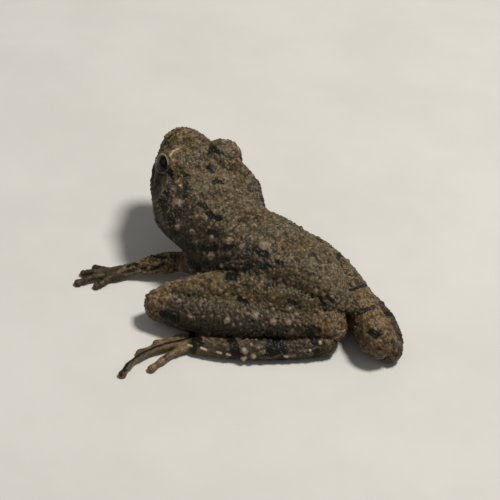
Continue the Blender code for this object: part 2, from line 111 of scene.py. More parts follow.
LEG = {
    "left": {
        "thigh": ((3.7, 11.4, 3.95, 1.45, 1.50), (5.6, 9.0, 4.00, 1.65, 1.68), (7.9, 6.3, 3.65, 1.62, 1.66),
                  (10.2, 4.2, 2.90, 1.42, 1.52), (12.1, 2.75, 2.15, 1.22, 1.40)),
        "shank": ((12.8, 2.7, 1.92, 1.32, 1.48), (11.4, 5.2, 1.90, 1.46, 1.56), (9.1, 8.1, 1.95, 1.55, 1.65),
                  (6.1, 11.1, 2.05, 1.42, 1.52), (3.35, 13.5, 2.12, 1.32, 1.50)),
        "tarsus": ((4.3, 14.0, 1.02, 0.92, 1.06), (6.0, 13.2, 0.88, 0.80, 0.92), (7.7, 12.1, 0.84, 0.80, 0.88),
                   (9.8, 10.5, 0.82, 0.85, 0.86)),
        "metatarsus": ((10.0, 10.3, 0.80, 0.85, 0.84), (11.4, 8.8, 0.70, 0.95, 0.74), (12.6, 7.2, 0.55, 1.00, 0.60)),
        "toes": (
            ((12.0, 6.9, 0.50, 0.34, 0.32), (12.5, 5.9, 0.45, 0.29, 0.28), (13.1, 5.3, 0.22, 0.31, 0.28)),
            ((12.4, 6.8, 0.50, 0.36, 0.32), (13.6, 5.6, 0.46, 0.30, 0.28), (14.9, 4.8, 0.22, 0.31, 0.28)),
            ((12.6, 6.7, 0.50, 0.38, 0.33), (14.4, 5.6, 0.50, 0.31, 0.28), (16.8, 4.9, 0.22, 0.32, 0.28)),
            ((12.7, 6.9, 0.50, 0.40, 0.34), (14.3, 6.0, 0.58, 0.34, 0.30), (16.4, 5.5, 0.50, 0.31, 0.28),
             (18.2, 5.6, 0.40, 0.29, 0.27), (19.6, 6.1, 0.22, 0.32, 0.28)),
            ((12.8, 7.2, 0.50, 0.38, 0.33), (14.8, 6.8, 0.48, 0.31, 0.28), (17.3, 7.0, 0.22, 0.32, 0.28)),
        ),
    },
    "right": {
        "thigh": ((0.95, 10.9, 3.75, 1.22, 1.30), (0.85, 9.2, 3.50, 1.40, 1.46), (0.50, 7.2, 3.10, 1.40, 1.46),
                  (-0.25, 5.2, 2.68, 1.28, 1.38), (-1.15, 3.6, 2.20, 1.12, 1.28)),
        "shank": ((-2.0, 3.3, 1.95, 1.18, 1.36), (-2.15, 5.6, 2.05, 1.36, 1.46), (-1.62, 9.2, 2.12, 1.47, 1.54),
                  (-0.28, 13.0, 2.12, 1.60, 1.56), (1.38, 17.05, 2.00, 1.48, 1.52)),
        "tarsus": ((0.5, 17.9, 1.02, 0.92, 1.06), (-0.9, 16.6, 0.88, 0.80, 0.92), (-1.95, 14.8, 0.84, 0.78, 0.88),
                   (-2.5, 12.6, 0.82, 0.80, 0.86)),
        "metatarsus": ((-2.6, 12.3, 0.80, 0.78, 0.84), (-3.0, 10.4, 0.70, 0.86, 0.74), (-3.35, 8.6, 0.55, 0.90, 0.60)),
        "toes": (
            ((-3.0, 8.5, 0.50, 0.34, 0.32), (-3.05, 7.5, 0.45, 0.29, 0.28), (-3.3, 6.7, 0.22, 0.31, 0.28)),
            ((-3.2, 8.3, 0.50, 0.36, 0.32), (-3.35, 6.9, 0.46, 0.30, 0.28), (-3.55, 5.6, 0.22, 0.31, 0.28)),
            ((-3.4, 8.2, 0.50, 0.38, 0.33), (-3.7, 6.2, 0.50, 0.31, 0.28), (-3.85, 4.0, 0.22, 0.32, 0.28)),
            ((-3.55, 8.3, 0.50, 0.40, 0.34), (-4.1, 6.4, 0.56, 0.34, 0.30), (-4.4, 4.4, 0.50, 0.31, 0.28),
             (-4.45, 2.6, 0.40, 0.29, 0.27), (-4.3, 1.2, 0.22, 0.32, 0.28)),
            ((-3.75, 8.5, 0.50, 0.38, 0.33), (-4.5, 6.8, 0.48, 0.31, 0.28), (-5.0, 4.9, 0.22, 0.32, 0.28)),
        ),
    },
}
# share of each toe's length that the web reaches, between neighbouring toes
WEB_REACH = ((0.55, 0.62), (0.60, 0.62), (0.62, 0.50), (0.42, 0.62))

# ---------------------------------------------------------------- camera, in modelling units
LOOK = Vector((-0.5668, -0.5474, -0.6157)).normalized()
_r0 = Vector((math.cos(math.radians(134)), math.sin(math.radians(134)), 0.0))
_u0 = _r0.cross(LOOK)
ROLL = math.radians(6.0)
CAM_RIGHT = _r0 * math.cos(ROLL) + _u0 * math.sin(ROLL)
CAM_UP = -_r0 * math.sin(ROLL) + _u0 * math.cos(ROLL)
CAM_AT = -LOOK * 180.0
LENS = 147.2256
FOCAL = 500.0 * LENS / 36.0


def ray(u, v):
    """Direction through a place in the 500 by 500 view."""
    return (LOOK + CAM_RIGHT * ((u - 250.0) / FOCAL) + CAM_UP * ((250.0 - v) / FOCAL)).normalized()


# ---------------------------------------------------------------- curves and lofts
def blend(rows, steps):
    out = []
    n = len(rows)
    for i in range(n - 1):
        p0 = rows[i - 1] if i else tuple(2 * a - b for a, b in zip(rows[0], rows[1]))
        p1, p2 = rows[i], rows[i + 1]
        p3 = rows[i + 2] if i + 2 < n else tuple(2 * a - b for a, b in zip(rows[-1], rows[-2]))
        for k in range(steps):
            t = k / steps
            out.append(tuple(0.5 * (2 * b + (c - a) * t + (2 * a - 5 * b + 4 * c - d) * t * t
                                    + (3 * b - a - 3 * c + d) * t ** 3)
                             for a, b, c, d in zip(p0, p1, p2, p3)))
    out.append(tuple(rows[-1]))
    return out


def shaped(value, power):
    return math.copysign(abs(value) ** power, value)


def skin_rings(bm, rings):
    rows = [[bm.verts.new(p) for p in ring] for ring in rings]
    n = len(rows[0])
    for a, b in zip(rows, rows[1:]):
        for i in range(n):
            bm.faces.new((a[i], a[(i + 1) % n], b[(i + 1) % n], b[i]))
    bm.faces.new(rows[0])
    bm.faces.new(list(reversed(rows[-1])))


def limb_rings(rows, seg, steps, grow=0.0):
    path = blend(rows, steps)
    pts = [Vector(r[:3]) for r in path]
    rings = []

    def ring(centre, tangent, w, h):
        side = tangent.cross(Vector((0, 0, 1)))
        side.normalize()
        up = side.cross(tangent)
        return [centre + side * (w * math.cos(2 * math.pi * k / seg)) + up * (h * math.sin(2 * math.pi * k / seg))
                for k in range(seg)]

    first = (pts[1] - pts[0]).normalized()
    last = (pts[-1] - pts[-2]).normalized()
    w0, h0 = path[0][3] + grow, path[0][4] + grow
    w1, h1 = path[-1][3] + grow, path[-1][4] + grow
    for a in (85, 66, 48, 32, 16):
        c, s = math.cos(math.radians(a)), math.sin(math.radians(a))
        rings.append(ring(pts[0] - first * (min(w0, h0) * s), first, w0 * c, h0 * c))
    for i, p in enumerate(pts):
        t = first if i == 0 else last if i == len(pts) - 1 else (pts[i + 1] - pts[i - 1]).normalized()
        rings.append(ring(p, t, path[i][3] + grow, path[i][4] + grow))
    for a in (16, 32, 48, 66, 85):
        c, s = math.cos(math.radians(a)), math.sin(math.radians(a))
        rings.append(ring(pts[-1] + last * (min(w1, h1) * s), last, w1 * c, h1 * c))
    return rings


_t, _p = math.radians(HEAD_TURN), math.radians(HEAD_PITCH)
BACK = Vector((math.sin(_t) * math.cos(_p), math.cos(_t) * math.cos(_p), -math.sin(_p)))
LEFT = Vector((math.cos(_t), -math.sin(_t), 0.0))
UP = Vector((math.sin(_t) * math.sin(_p), math.cos(_t) * math.sin(_p), math.cos(_p)))


def head_point(s, out, up):
    return Vector(SNOUT_TIP) + BACK * s + LEFT * out + UP * up


def body_rows():
    rows = []
    for s, w, top, low in HEAD_SECTIONS:
        p = head_point(s, 0, 0)
        rows.append((p.x, p.y, p.z, HEAD_TURN, HEAD_PITCH, w, top, low))
    return rows + [tuple(r) for r in TRUNK_SECTIONS]


def turned(turn, pitch):
    t, p = math.radians(turn), math.radians(pitch)
    left = Vector((math.cos(t), -math.sin(t), 0.0))
    up = Vector((math.sin(t) * math.sin(p), math.cos(t) * math.sin(p), math.cos(p)))
    return left, up


def body_rings(seg, steps):
    rings = []
    for x, y, z, turn, pitch, w, top, low in blend(body_rows(), steps):
        left, up = turned(turn, pitch)
        ring = []
        for k in range(seg):
            a = 2 * math.pi * k / seg
            c, s = math.cos(a), math.sin(a)
            ring.append(Vector((x, y, z)) + left * (w * shaped(c, 0.92)) + up * ((top if s > 0 else low) * shaped(s, 0.95)))
        rings.append(ring)
    return rings


def add_ball(bm, centre, radii, axes, seg=48, rows=32):
    turn = Matrix(axes).transposed()
    m = Matrix.Translation(centre) @ turn.to_4x4() @ Matrix.Diagonal((radii[0], radii[1], radii[2], 1.0))
    bmesh.ops.create_uvsphere(bm, u_segments=seg, v_segments=rows, radius=1.0, matrix=m)


def add_web(bm, toe_a, toe_b, reach_a, reach_b):
    """Thin closed sheet between two toes, with a hollow free edge."""
    path_a = [Vector(r[:3]) for r in blend(toe_a, 12)]
    path_b = [Vector(r[:3]) for r in blend(toe_b, 12)]

    def at(path, f):
        x = max(0.0, min(1.0, f)) * (len(path) - 1)
        i = min(int(x), len(path) - 2)
        return path[i].lerp(path[i + 1], x - i)

    nu, nv = 18, 8
    top, low = [], []
    for i in range(nu + 1):
        line_t, line_l = [], []
        for j in range(nv + 1):
            v = j / nv
            pull = 1.0 - 0.42 * math.sin(math.pi * v)
            f = i / nu * pull
            a, b = at(path_a, f * reach_a), at(path_b, f * reach_b)
            p = a.lerp(b, v)
            p.z = max(0.10, p.z - 0.10 * math.sin(math.pi * v) - 0.05)
            line_t.append(bm.verts.new(p + Vector((0, 0, 0.095))))
            line_l.append(bm.verts.new(p - Vector((0, 0, 0.095))))
        top.append(line_t)
        low.append(line_l)
    for i in range(nu):
        for j in range(nv):
            bm.faces.new((top[i][j], top[i][j + 1], top[i + 1][j + 1], top[i + 1][j]))
            bm.faces.new((low[i][j], low[i + 1][j], low[i + 1][j + 1], low[i][j + 1]))
    rim_t = ([top[0][j] for j in range(nv + 1)] + [top[i][nv] for i in range(1, nu + 1)]
             + [top[nu][j] for j in range(nv - 1, -1, -1)] + [top[i][0] for i in range(nu - 1, 0, -1)])
    rim_l = ([low[0][j] for j in range(nv + 1)] + [low[i][nv] for i in range(1, nu + 1)]
             + [low[nu][j] for j in range(nv - 1, -1, -1)] + [low[i][0] for i in range(nu - 1, 0, -1)])
    n = len(rim_t)
    for i in range(n):
        bm.faces.new((rim_t[i], rim_l[i], rim_l[(i + 1) % n], rim_t[(i + 1) % n]))


# ---------------------------------------------------------------- raw body, melted into one skin
bm = bmesh.new()
skin_rings(bm, body_rings(96, 6))
for sign in (1, -1):
    add_ball(bm, head_point(EYE_BACK + 0.25, EYE_SHIFT + sign * (EYE_OUT - 0.62), EYE_UP + 0.12), (1.62, 1.82, 1.30), (LEFT, BACK, UP))
    add_ball(bm, head_point(6.6, sign * 3.45, 1.45), (0.85, 1.9, 1.0), (LEFT, BACK, UP))
    add_ball(bm, head_point(8.2, sign * 3.85, 1.2), (0.95, 2.7, 1.0), (LEFT, BACK, UP))
    add_ball(bm, head_point(EYE_BACK, EYE_SHIFT + sign * EYE_OUT, EYE_UP), (EYE_RADIUS + 0.13,) * 3, (LEFT, BACK, UP))
add_ball(bm, head_point(5.0, EYE_SHIFT, 1.98), (2.3, 2.0, 0.80), (LEFT, BACK, UP))
for side in ("left", "right"):
    g, a = LEG[side], ARM[side]
    for key in ("thigh", "shank", "tarsus", "metatarsus"):
        skin_rings(bm, limb_rings(g[key], 40, 6))
    # soft flesh pressed together where the shank lies against the thigh
    lean = Vector((0.57, 0.50, 0.62) if side == "left" else (-0.76, 0.0, 0.65)) * 0.36
    pressed = [tuple((Vector(t[:3]) + Vector(s[:3])) / 2 + lean) + (0.96, 0.96) for t, s in zip(g["thigh"], reversed(g["shank"]))]
    skin_rings(bm, limb_rings(pressed[:-1], 24, 6))
    for toe in g["toes"]:
        skin_rings(bm, limb_rings(toe, 20, 6, -0.01))
    for (ta, tb), (ra, rb) in zip(zip(g["toes"], g["toes"][1:]), WEB_REACH):
        add_web(bm, ta, tb, ra, rb)
    for key in ("upper_arm", "forearm", "palm"):
        skin_rings(bm, limb_rings(a[key], 36, 6))
    for finger in a["fingers"]:
        skin_rings(bm, limb_rings(finger, 20, 6, -0.005))
bmesh.ops.recalc_face_normals(bm, faces=bm.faces)
raw = bpy.data.meshes.new("raw")
bm.to_mesh(raw)
bm.free()
skin = bpy.data.objects.new("skin", raw)
bpy.context.scene.collection.objects.link(skin)
melt = skin.modifiers.new("melt", 'REMESH')
melt.mode = 'VOXEL'
melt.voxel_size = VOXEL
bpy.context.view_layer.update()
mesh = bpy.data.meshes.new_from_object(skin.evaluated_get(bpy.context.evaluated_depsgraph_get()))
skin.modifiers.clear()
skin.data = mesh
bpy.data.meshes.remove(raw)


def largest_only(obj):
    """Drop stray islands inside or beside the skin."""
    me = obj.data
    n = len(me.vertices)
    ed = np.zeros(len(me.edges) * 2, np.int64)
    me.edges.foreach_get("vertices", ed)
    ed = ed.reshape(-1, 2)
    label = np.arange(n)
    while True:
        low = np.minimum(label[ed[:, 0]], label[ed[:, 1]])
        new = label.copy()
        np.minimum.at(new, ed[:, 0], low)
        np.minimum.at(new, ed[:, 1], low)
        new = new[new]
        new = new[new]
        if np.array_equal(new, label):
            break
        label = new
    keep = np.bincount(label).argmax()
    drop = np.nonzero(label != keep)[0]
    if len(drop):
        b = bmesh.new()
        b.from_mesh(me)
        b.verts.ensure_lookup_table()
        bmesh.ops.delete(b, geom=[b.verts[i] for i in drop], context='VERTS')
        b.to_mesh(me)
        b.free()


largest_only(skin)
mesh = skin.data
N = len(mesh.vertices)
co = np.zeros(N * 3, np.float32)
mesh.vertices.foreach_get("co", co)
co = co.reshape(-1, 3).astype(np.float64)
edges = np.zeros(len(mesh.edges) * 2, np.int64)
mesh.edges.foreach_get("vertices", edges)
edges = edges.reshape(-1, 2)
ea, eb = edges[:, 0], edges[:, 1]
degree = np.bincount(ea, minlength=N) + np.bincount(eb, minlength=N)
degree = np.maximum(degree, 1)


def around(values):
    """Mean of each point's neighbours."""
    if values.ndim == 1:
        return (np.bincount(ea, weights=values[eb], minlength=N) + np.bincount(eb, weights=values[ea], minlength=N)) / degree
    return np.stack([around(values[:, k]) for k in range(values.shape[1])], 1)


def evened(values, rounds, share=0.5):
    for _ in range(rounds):
        values = values + (around(values) - values) * share
    return values


def step(x, a, b):
    """0 below a, 1 above b, smooth between."""
    t = np.clip((x - a) / (b - a), 0.0, 1.0)
    return t * t * (3 - 2 * t)


# ---------------------------------------------------------------- where each point lies along each segment
class Line:
    """A segment's centre line with its half width and half height."""

    def __init__(self, rows, steps=8):
        path = blend(rows, steps)
        self.c = np.array([r[:3] for r in path])
        self.w = np.array([r[3] for r in path])
        self.h = np.array([r[4] for r in path])
        t = np.gradient(self.c, axis=0)
        self.t = t / np.linalg.norm(t, axis=1)[:, None]
        s = np.cross(self.t, np.array([0.0, 0.0, 1.0]))
        self.s = s / np.linalg.norm(s, axis=1)[:, None]
        self.u = np.cross(self.s, self.t)
        self.low = self.h

    def place(self, pts):
        """Share of the length, angle round it (0 side, quarter turn up) and distance from its surface."""
        n, m = len(pts), len(self.c)
        along, angle, dist = np.empty(n), np.empty(n), np.empty(n)
        gap = np.linalg.norm(np.diff(self.c, axis=0), axis=1).mean()
        for i in range(0, n, 60000):
            p = pts[i:i + 60000]
            d2 = ((p ** 2).sum(1)[:, None] - 2 * p @ self.c.T + (self.c ** 2).sum(1)[None])
            k = d2.argmin(1)
            o = p - self.c[k]
            a, b, c = (o * self.s[k]).sum(1), (o * self.u[k]).sum(1), (o * self.t[k]).sum(1)
            w = self.w[k]
            h = np.where(b > 0, self.h[k], self.low[k])
            small = np.minimum(w, h)
            past = np.where(((k == 0) & (c < 0)) | ((k == m - 1) & (c > 0)), c, 0.0)
            rho = np.sqrt((a / w) ** 2 + (b / h) ** 2 + (past / small) ** 2)
            along[i:i + 60000] = np.clip((k + c / gap) / (m - 1), 0, 1)
            angle[i:i + 60000] = np.arctan2(b / h, a / w)
            dist[i:i + 60000] = (rho - 1) * small
        return along, angle, dist


class BodyLine(Line):
    def __init__(self, steps=6):
        path = blend(body_rows(), steps)
        self.c = np.array([r[:3] for r in path])
        self.w = np.array([r[5] for r in path])
        self.h = np.array([r[6] for r in path])
        self.low = np.array([r[7] for r in path])
        ax = [turned(r[3], r[4]) for r in path]
        self.s = np.array([tuple(x[0]) for x in ax])
        self.u = np.array([tuple(x[1]) for x in ax])
        self.t = np.cross(self.s, self.u) * -1.0


LINES = {"body": BodyLine()}
for side in ("left", "right"):
    for key in ("thigh", "shank", "tarsus", "metatarsus"):
        LINES[key + "_" + side] = Line(LEG[side][key])
    for i, toe in enumerate(LEG[side]["toes"]):
        LINES[f"toe{i}_{side}"] = Line(toe)
    for key in ("upper_arm", "forearm", "palm"):
        LINES[key + "_" + side] = Line(ARM[side][key])
    for i, finger in enumerate(ARM[side]["fingers"]):
        LINES[f"finger{i}_{side}"] = Line(finger)
NAMES = list(LINES)
ALONG, ANGLE, DIST = {}, {}, {}
for name in NAMES:
    ALONG[name], ANGLE[name], DIST[name] = LINES[name].place(co)
table = np.stack([DIST[n] for n in NAMES], 1)
table[:, NAMES.index("body")] -= 0.05
LABEL = table.argmin(1)
SHARE = np.exp(-(table - table.min(1)[:, None]) / 0.22)
SHARE /= SHARE.sum(1)[:, None]


def part(*starts):
    """How far each point belongs to the segments whose names start so."""
    cols = [i for i, n in enumerate(NAMES) if any(n.startswith(s) for s in starts)]
    return SHARE[:, cols].sum(1)


def is_part(*starts):
    cols = [i for i, n in enumerate(NAMES) if any(n.startswith(s) for s in starts)]
    return np.isin(LABEL, cols)


fine = part("toe", "finger", "palm") + part("metatarsus") * 0.5

# soft blends where segments meet
rounds = 36
ease = 0.5 * (1 - 0.78 * np.clip(fine, 0, 1))
for _ in range(rounds):
    co = co + (around(co) - co) * ease[:, None]


def vertex_normals(points):
    mesh.vertices.foreach_set("co", points.astype(np.float32).ravel())
    mesh.update()
    nr = np.zeros(N * 3, np.float32)
    mesh.vertex_normals.foreach_get("vector", nr)
    return nr.reshape(-1, 3).astype(np.float64)


normal = vertex_normals(co)
for name in NAMES:
    ALONG[name], ANGLE[name], DIST[name] = LINES[name].place(co)

# head coordinates: back from the snout, to the left, up from the mouth line
q = co - np.array(SNOUT_TIP)
hs, ho, hu = q @ np.array(BACK), q @ np.array(LEFT), q @ np.array(UP)
on_body = part("body")
on_head = on_body * (1 - step(hs, 8.3, 9.6))
body_along, body_angle = ALONG["body"], ANGLE["body"]
N_HEAD = len(HEAD_SECTIONS)
trunk_at = body_along * (N_HEAD + len(TRUNK_SECTIONS) - 1)   # counts sections from the snout


# ---------------------------------------------------------------- noise
def chance(i, j, k, seed):
    h = (i * 374761393 + j * 668265263 + k * 2147483647 + seed * 1274126177) & 0xFFFFFFFF
    h = ((h ^ (h >> 13)) * 1274126177) & 0xFFFFFFFF
    h = h ^ (h >> 16)
    return (h & 0xFFFFFF) / float(0xFFFFFF) * 2 - 1


def lumps(points, size, seed=0, octaves=1):
    """Smooth noise from -1 to 1 with lumps of about this size."""
    total, weight = 0.0, 0.0
    for o in range(octaves):
        qn = points / (size / 2 ** o) + 57.31 * (o + 1)
        i = np.floor(qn).astype(np.int64)
        f = qn - i
        f = f * f * (3 - 2 * f)
        out = 0.0
        for dx in (0, 1):
            wx = f[:, 0] if dx else 1 - f[:, 0]
            for dy in (0, 1):
                wy = f[:, 1] if dy else 1 - f[:, 1]
                for dz in (0, 1):
                    wz = f[:, 2] if dz else 1 - f[:, 2]
                    out = out + wx * wy * wz * chance(i[:, 0] + dx, i[:, 1] + dy, i[:, 2] + dz, seed + o * 17)
        total = total + out * 0.55 ** o
        weight += 0.55 ** o
    return total / weight


# ---------------------------------------------------------------- marks on the skin
tree = KDTree(N)
for i, p in enumerate(co):
    tree.insert(p, i)
tree.balance()
quads = np.zeros(len(mesh.loops), np.int64)
mesh.loops.foreach_get("vertex_index", quads)
starts = np.zeros(len(mesh.polygons), np.int64)
sizes_ = np.zeros(len(mesh.polygons), np.int64)
mesh.polygons.foreach_get("loop_start", starts)
mesh.polygons.foreach_get("loop_total", sizes_)
faces = [quads[s:s + t].tolist() for s, t in zip(starts, sizes_)]
hull = BVHTree.FromPolygons([Vector(p) for p in co], faces)

height = np.zeros(N)                       # what stands out from the smooth skin
MASKS = {k: np.zeros(N) for k in ("dark", "black", "pale", "cream", "warm", "tan", "belly", "grain", "grey", "tone", "pit")}
lifted = np.zeros(N)                       # pale warts, where darker zones are held back
ragged = lumps(co, 0.30, 5, 2)
coarse = lumps(co, 1.3, 11, 2)
speckle = lumps(co, 0.24, 91, 2)


def near(centre, radius, limit=0.0, same=None):
    """Points within the radius whose skin faces the same way."""
    found = tree.find_range(centre, radius)
    if not found:
        return None, None
    idx = np.array([f[1] for f in found])
    dist = np.array([f[2] for f in found])
    if same is not None:
        ok = (normal[idx] @ normal[same]) > limit
        idx, dist = idx[ok], dist[ok]
    return idx, dist


def touch(centre, radius, rise=0.0, mask=None, amount=1.0, seed_index=None, sharp=1.0, edge=0.25):
    idx, dist = near(centre, radius * (1 + edge), -0.1, seed_index)
    if idx is None or not len(idx):
        return
    qn = dist / (radius * (1 + edge * ragged[idx]))
    bump = np.clip(1 - qn * qn, 0, 1) ** sharp
    if rise > 0:
        height[idx] = np.maximum(height[idx], rise * bump)
    elif rise < 0:
        height[idx] = np.minimum(height[idx], rise * bump)
    if mask:
        m = MASKS[mask]
        soft = np.clip(bump * 1.8, 0, 1)
        if mask in ("dark", "black"):
            soft = np.clip(bump * 1.5, 0, 1) * (1.30 if mask == "black" else 1.10)
            soft = step(soft + 1.05 * speckle[idx] + 0.25 * ragged[idx], 0.28, 0.74) * step(bump, 0.0, 0.18)
        elif mask in ("pale", "cream"):
            soft = np.clip(soft * (0.95 + 0.7 * speckle[idx]), 0, 1)
            lifted[idx] = np.maximum(lifted[idx], min(1.0, 1.25 * amount) * soft)
        m[idx] = np.maximum(m[idx], amount * soft)


def hit(u, v):
    """Where the view line through (u, v) meets the skin, with the nearest point's index."""
    p, n, f, d = hull.ray_cast(CAM_AT, ray(u, v))
    if p is None:
        return None, None
    _, i, _ = tree.find(p)
    return p, i


def stroke(points, radius, rise=0.0, mask=None, amount=1.0, sharp=1.0, edge=0.3):
    """A run of marks through places in the view."""
    if len(points) == 1:
        run = [points[0]]
    else:
        run = []
        for (u0, v0), (u1, v1) in zip(points, points[1:]):
            n = max(1, int(math.hypot(u1 - u0, v1 - v0) / max(1.0, radius * 4.5)))
            run += [(u0 + (u1 - u0) * k / n, v0 + (v1 - v0) * k / n) for k in range(n)]
        run.append(points[-1])
    for u, v in run:
        p, i = hit(u, v)
        if p is not None:
            touch(p, radius, rise, mask, amount, i, sharp, edge)


def run3d(points, radius, rise, mask=None, amount=1.0, sharp=1.2, edge=0.15):
    """A ridge or groove through points in space, laid on the nearest skin."""
    for a, b in zip(points, points[1:]):
        n = max(1, int((b - a).length / (radius * 0.4)))
        for k in range(n + 1):
            p, i, _ = tree.find(a.lerp(b, k / n))
            touch(p, radius, rise, mask, amount, i, sharp, edge)


# ---------------------------------------------------------------- broad form
form = np.zeros(N)
top_side = np.clip(np.sin(body_angle), 0, 1)
# hollow between eye and nostril, ridge along its upper edge
for sign in (1, -1):
    out = ho * sign
    lore = np.exp(-(((hs - 2.5) / 0.9) ** 2 + ((out - 2.0) / 0.9) ** 2 + ((hu - 0.95) / 0.45) ** 2))
    form -= 0.16 * lore * on_head
    cheek = np.exp(-(((hs - 6.6) / 0.9) ** 2 + ((out - 3.9) / 0.9) ** 2 + ((hu - 1.05) / 0.55) ** 2))
    form -= 0.14 * cheek * on_head
    # shoulder blade and hip humps
    form += 0.22 * np.exp(-(((trunk_at - 10.6) / 0.9) ** 2 + ((body_angle - math.pi / 2 + sign * 0.75) / 0.35) ** 2)) * on_body
    form += 0.16 * np.exp(-(((trunk_at - 13.2) / 0.7) ** 2 + ((body_angle - math.pi / 2 + sign * 0.55) / 0.28) ** 2)) * on_body
# flat brow between the eyes and shallow line down the back
form -= 0.10 * np.exp(-(((hs - 4.6) / 1.3) ** 2 + (ho / 0.75) ** 2)) * on_head * step(hu, 0.5, 1.5)
form += 0.10 * np.exp(-((trunk_at - 15.0) / 1.2) ** 2 - ((body_angle - math.pi / 2) / 0.25) ** 2) * on_body
# wide mouth: groove, fuller upper lip, lower jaw drawn in
bend = 0.05 - 0.30 * step(hs, 6.6, 8.0) ** 2
lip = hu - bend
mouth = on_head * (1 - step(hs, 7.5, 8.0)) * (1 - step(np.abs(normal @ np.array(UP)), 0.80, 0.97))
form -= 0.22 * np.exp(-(lip / 0.085) ** 2) * mouth
form += 0.07 * np.exp(-((lip - 0.26) / 0.18) ** 2) * mouth
form -= 0.10 * np.exp(-((lip + 0.22) / 0.24) ** 2) * mouth
# creases where one segment folds against another
for a, b, deep, wide in (("thigh_left", "shank_left", 0.06, 0.14), ("thigh_right", "shank_right", 0.08, 0.14),
                         ("shank_left", "tarsus_left", 0.16, 0.14), ("shank_right", "tarsus_right", 0.16, 0.14),
                         ("thigh_left", "body", 0.16, 0.16), ("thigh_right", "body", 0.16, 0.16),
                         ("upper_arm_left", "body", 0.12, 0.16), ("upper_arm_right", "body", 0.12, 0.16),
                         ("shank_right", "body", 0.12, 0.16), ("shank_left", "body", 0.12, 0.16)):
    da, db = DIST[a], DIST[b]
    mix = np.exp(-((da - db) / wide) ** 2) * (1 - step(np.minimum(da, db), 0.25, 0.6))
    form -= deep * mix
# toes and fingers: small pads under the joints, rounded tips
for name in NAMES:
    if name.startswith(("toe", "finger")):
        w = SHARE[:, NAMES.index(name)]
        t = ALONG[name]
        joints = (0.34, 0.60, 0.82) if name.startswith("toe3") else (0.42, 0.74)
        for j in joints:
            form += 0.045 * np.exp(-((t - j) / 0.045) ** 2) * w
            form -= 0.030 * np.exp(-((t - j - 0.10) / 0.05) ** 2) * w
        form += 0.055 * np.exp(-((t - 0.985) / 0.05) ** 2) * w
# muscles: calf and forearm fuller in the middle, hollow by the heel cord
for side in ("left", "right"):
    t, w = ALONG["shank_" + side], part("shank_" + side)
    form += 0.10 * np.exp(-((t - 0.33) / 0.18) ** 2) * w - 0.10 * np.exp(-((t - 0.86) / 0.07) ** 2) * w
    form += 0.05 * np.sin(t * 150) * np.exp(-((t - 0.93) / 0.05) ** 2) * w
    t, w = ALONG["thigh_" + side], part("thigh_" + side)
    form += 0.035 * np.sin(t * 120) * np.exp(-((t - 0.95) / 0.05) ** 2) * w
    t, w = ALONG["forearm_" + side], part("forearm_" + side)
    form += 0.10 * np.exp(-((t - 0.28) / 0.2) ** 2) * w - 0.05 * np.exp(-((t - 0.85) / 0.1) ** 2) * w
    t, w = ALONG["tarsus_" + side], part("tarsus_" + side)
    form += 0.05 * np.exp(-((t - 0.97) / 0.07) ** 2) * w
form += 0.05 * lumps(co, 1.6, 3, 2) * (on_body + part("thigh", "shank"))
form = evened(form, 1)
co = co + normal * form[:, None]
normal = vertex_normals(co)
tree = KDTree(N)
for i, p in enumerate(co):
    tree.insert(p, i)
tree.balance()
hull = BVHTree.FromPolygons([Vector(p) for p in co], faces)

# ---------------------------------------------------------------- granules and warts
rng = np.random.default_rng(2113)
up_facing = normal[:, 2]
under = step(-up_facing, -0.05, 0.55)
head_top = on_head * step(hu, 0.9, 1.6)
flank = on_body * (1 - on_head) * step(-np.abs(body_angle - 0.15), -0.62, -0.25) + \
    on_body * (1 - on_head) * step(-np.abs(np.abs(body_angle) - math.pi + 0.15), -0.62, -0.25)
leg_top = part("thigh", "shank")


def scatter(spacing, tries, seed):
    """Even random points over the skin, at least spacing (an array) apart."""
    r = np.random.default_rng(seed)
    order = r.permutation(N)[:tries]
    cell = 0.5
    grid, chosen = {}, []
    for i in order:
        s = spacing[i]
        if s > 5:
            continue
        p = co[i]
        c = (int(math.floor(p[0] / cell)), int(math.floor(p[1] / cell)), int(math.floor(p[2] / cell)))
        reach = int(math.ceil(s / cell))
        ok = True
        for dx in range(-reach, reach + 1):
            for dy in range(-reach, reach + 1):
                for dz in range(-reach, reach + 1):
                    for o in grid.get((c[0] + dx, c[1] + dy, c[2] + dz), ()):
                        if (p[0] - o[0]) ** 2 + (p[1] - o[1]) ** 2 + (p[2] - o[2]) ** 2 < s * s:
                            ok = False
                            break
                    if not ok:
                        break
                if not ok:
                    break
            if not ok:
                break
        if ok:
            grid.setdefault(c, []).append(p)
            chosen.append(int(i))
    return chosen


smooth_zone = np.clip(part("toe", "finger") * 1.2 + part("palm", "metatarsus") * 0.6, 0, 1)
rough_zone = np.clip(1 - smooth_zone - 0.55 * under, 0.12, 1)
drift = np.stack([lumps(co, 0.45, 61), lumps(co, 0.45, 62), lumps(co, 0.45, 63)], 1) * 0.16
pucker = 1 - 2.4 * np.abs(lumps(co + drift, 0.34, 71)) + 0.55 * lumps(co + drift, 0.19, 73)
pucker = np.clip(pucker, -1, 1)
crowd = lumps(co, 0.9, 77, 2)
spacing = 0.225 + 0.05 * under + 0.12 * smooth_zone + 0.09 * np.clip(1.4 * crowd, -1, 1)
grain_height = np.zeros(N)
tone = np.zeros(N)
for i in scatter(spacing, 90000, 7):
    r = spacing[i] * rng.uniform(0.42, 0.98)
    idx, dist = near(co[i], r, 0.0, i)
    if idx is None:
        continue
    b = np.clip(1 - (dist / (r * (1 + 0.45 * ragged[idx]))) ** 2, 0, 1)
    lift = rng.uniform(0.25, 1.3) * (0.55 + 0.45 * r / 0.16)
    shade = rng.uniform(-1, 1)
    new = b * lift * rough_zone[i]
    above = new > grain_height[idx]
    tone[idx] = np.where(above, shade, tone[idx])
    grain_height[idx] = np.maximum(grain_height[idx], new)
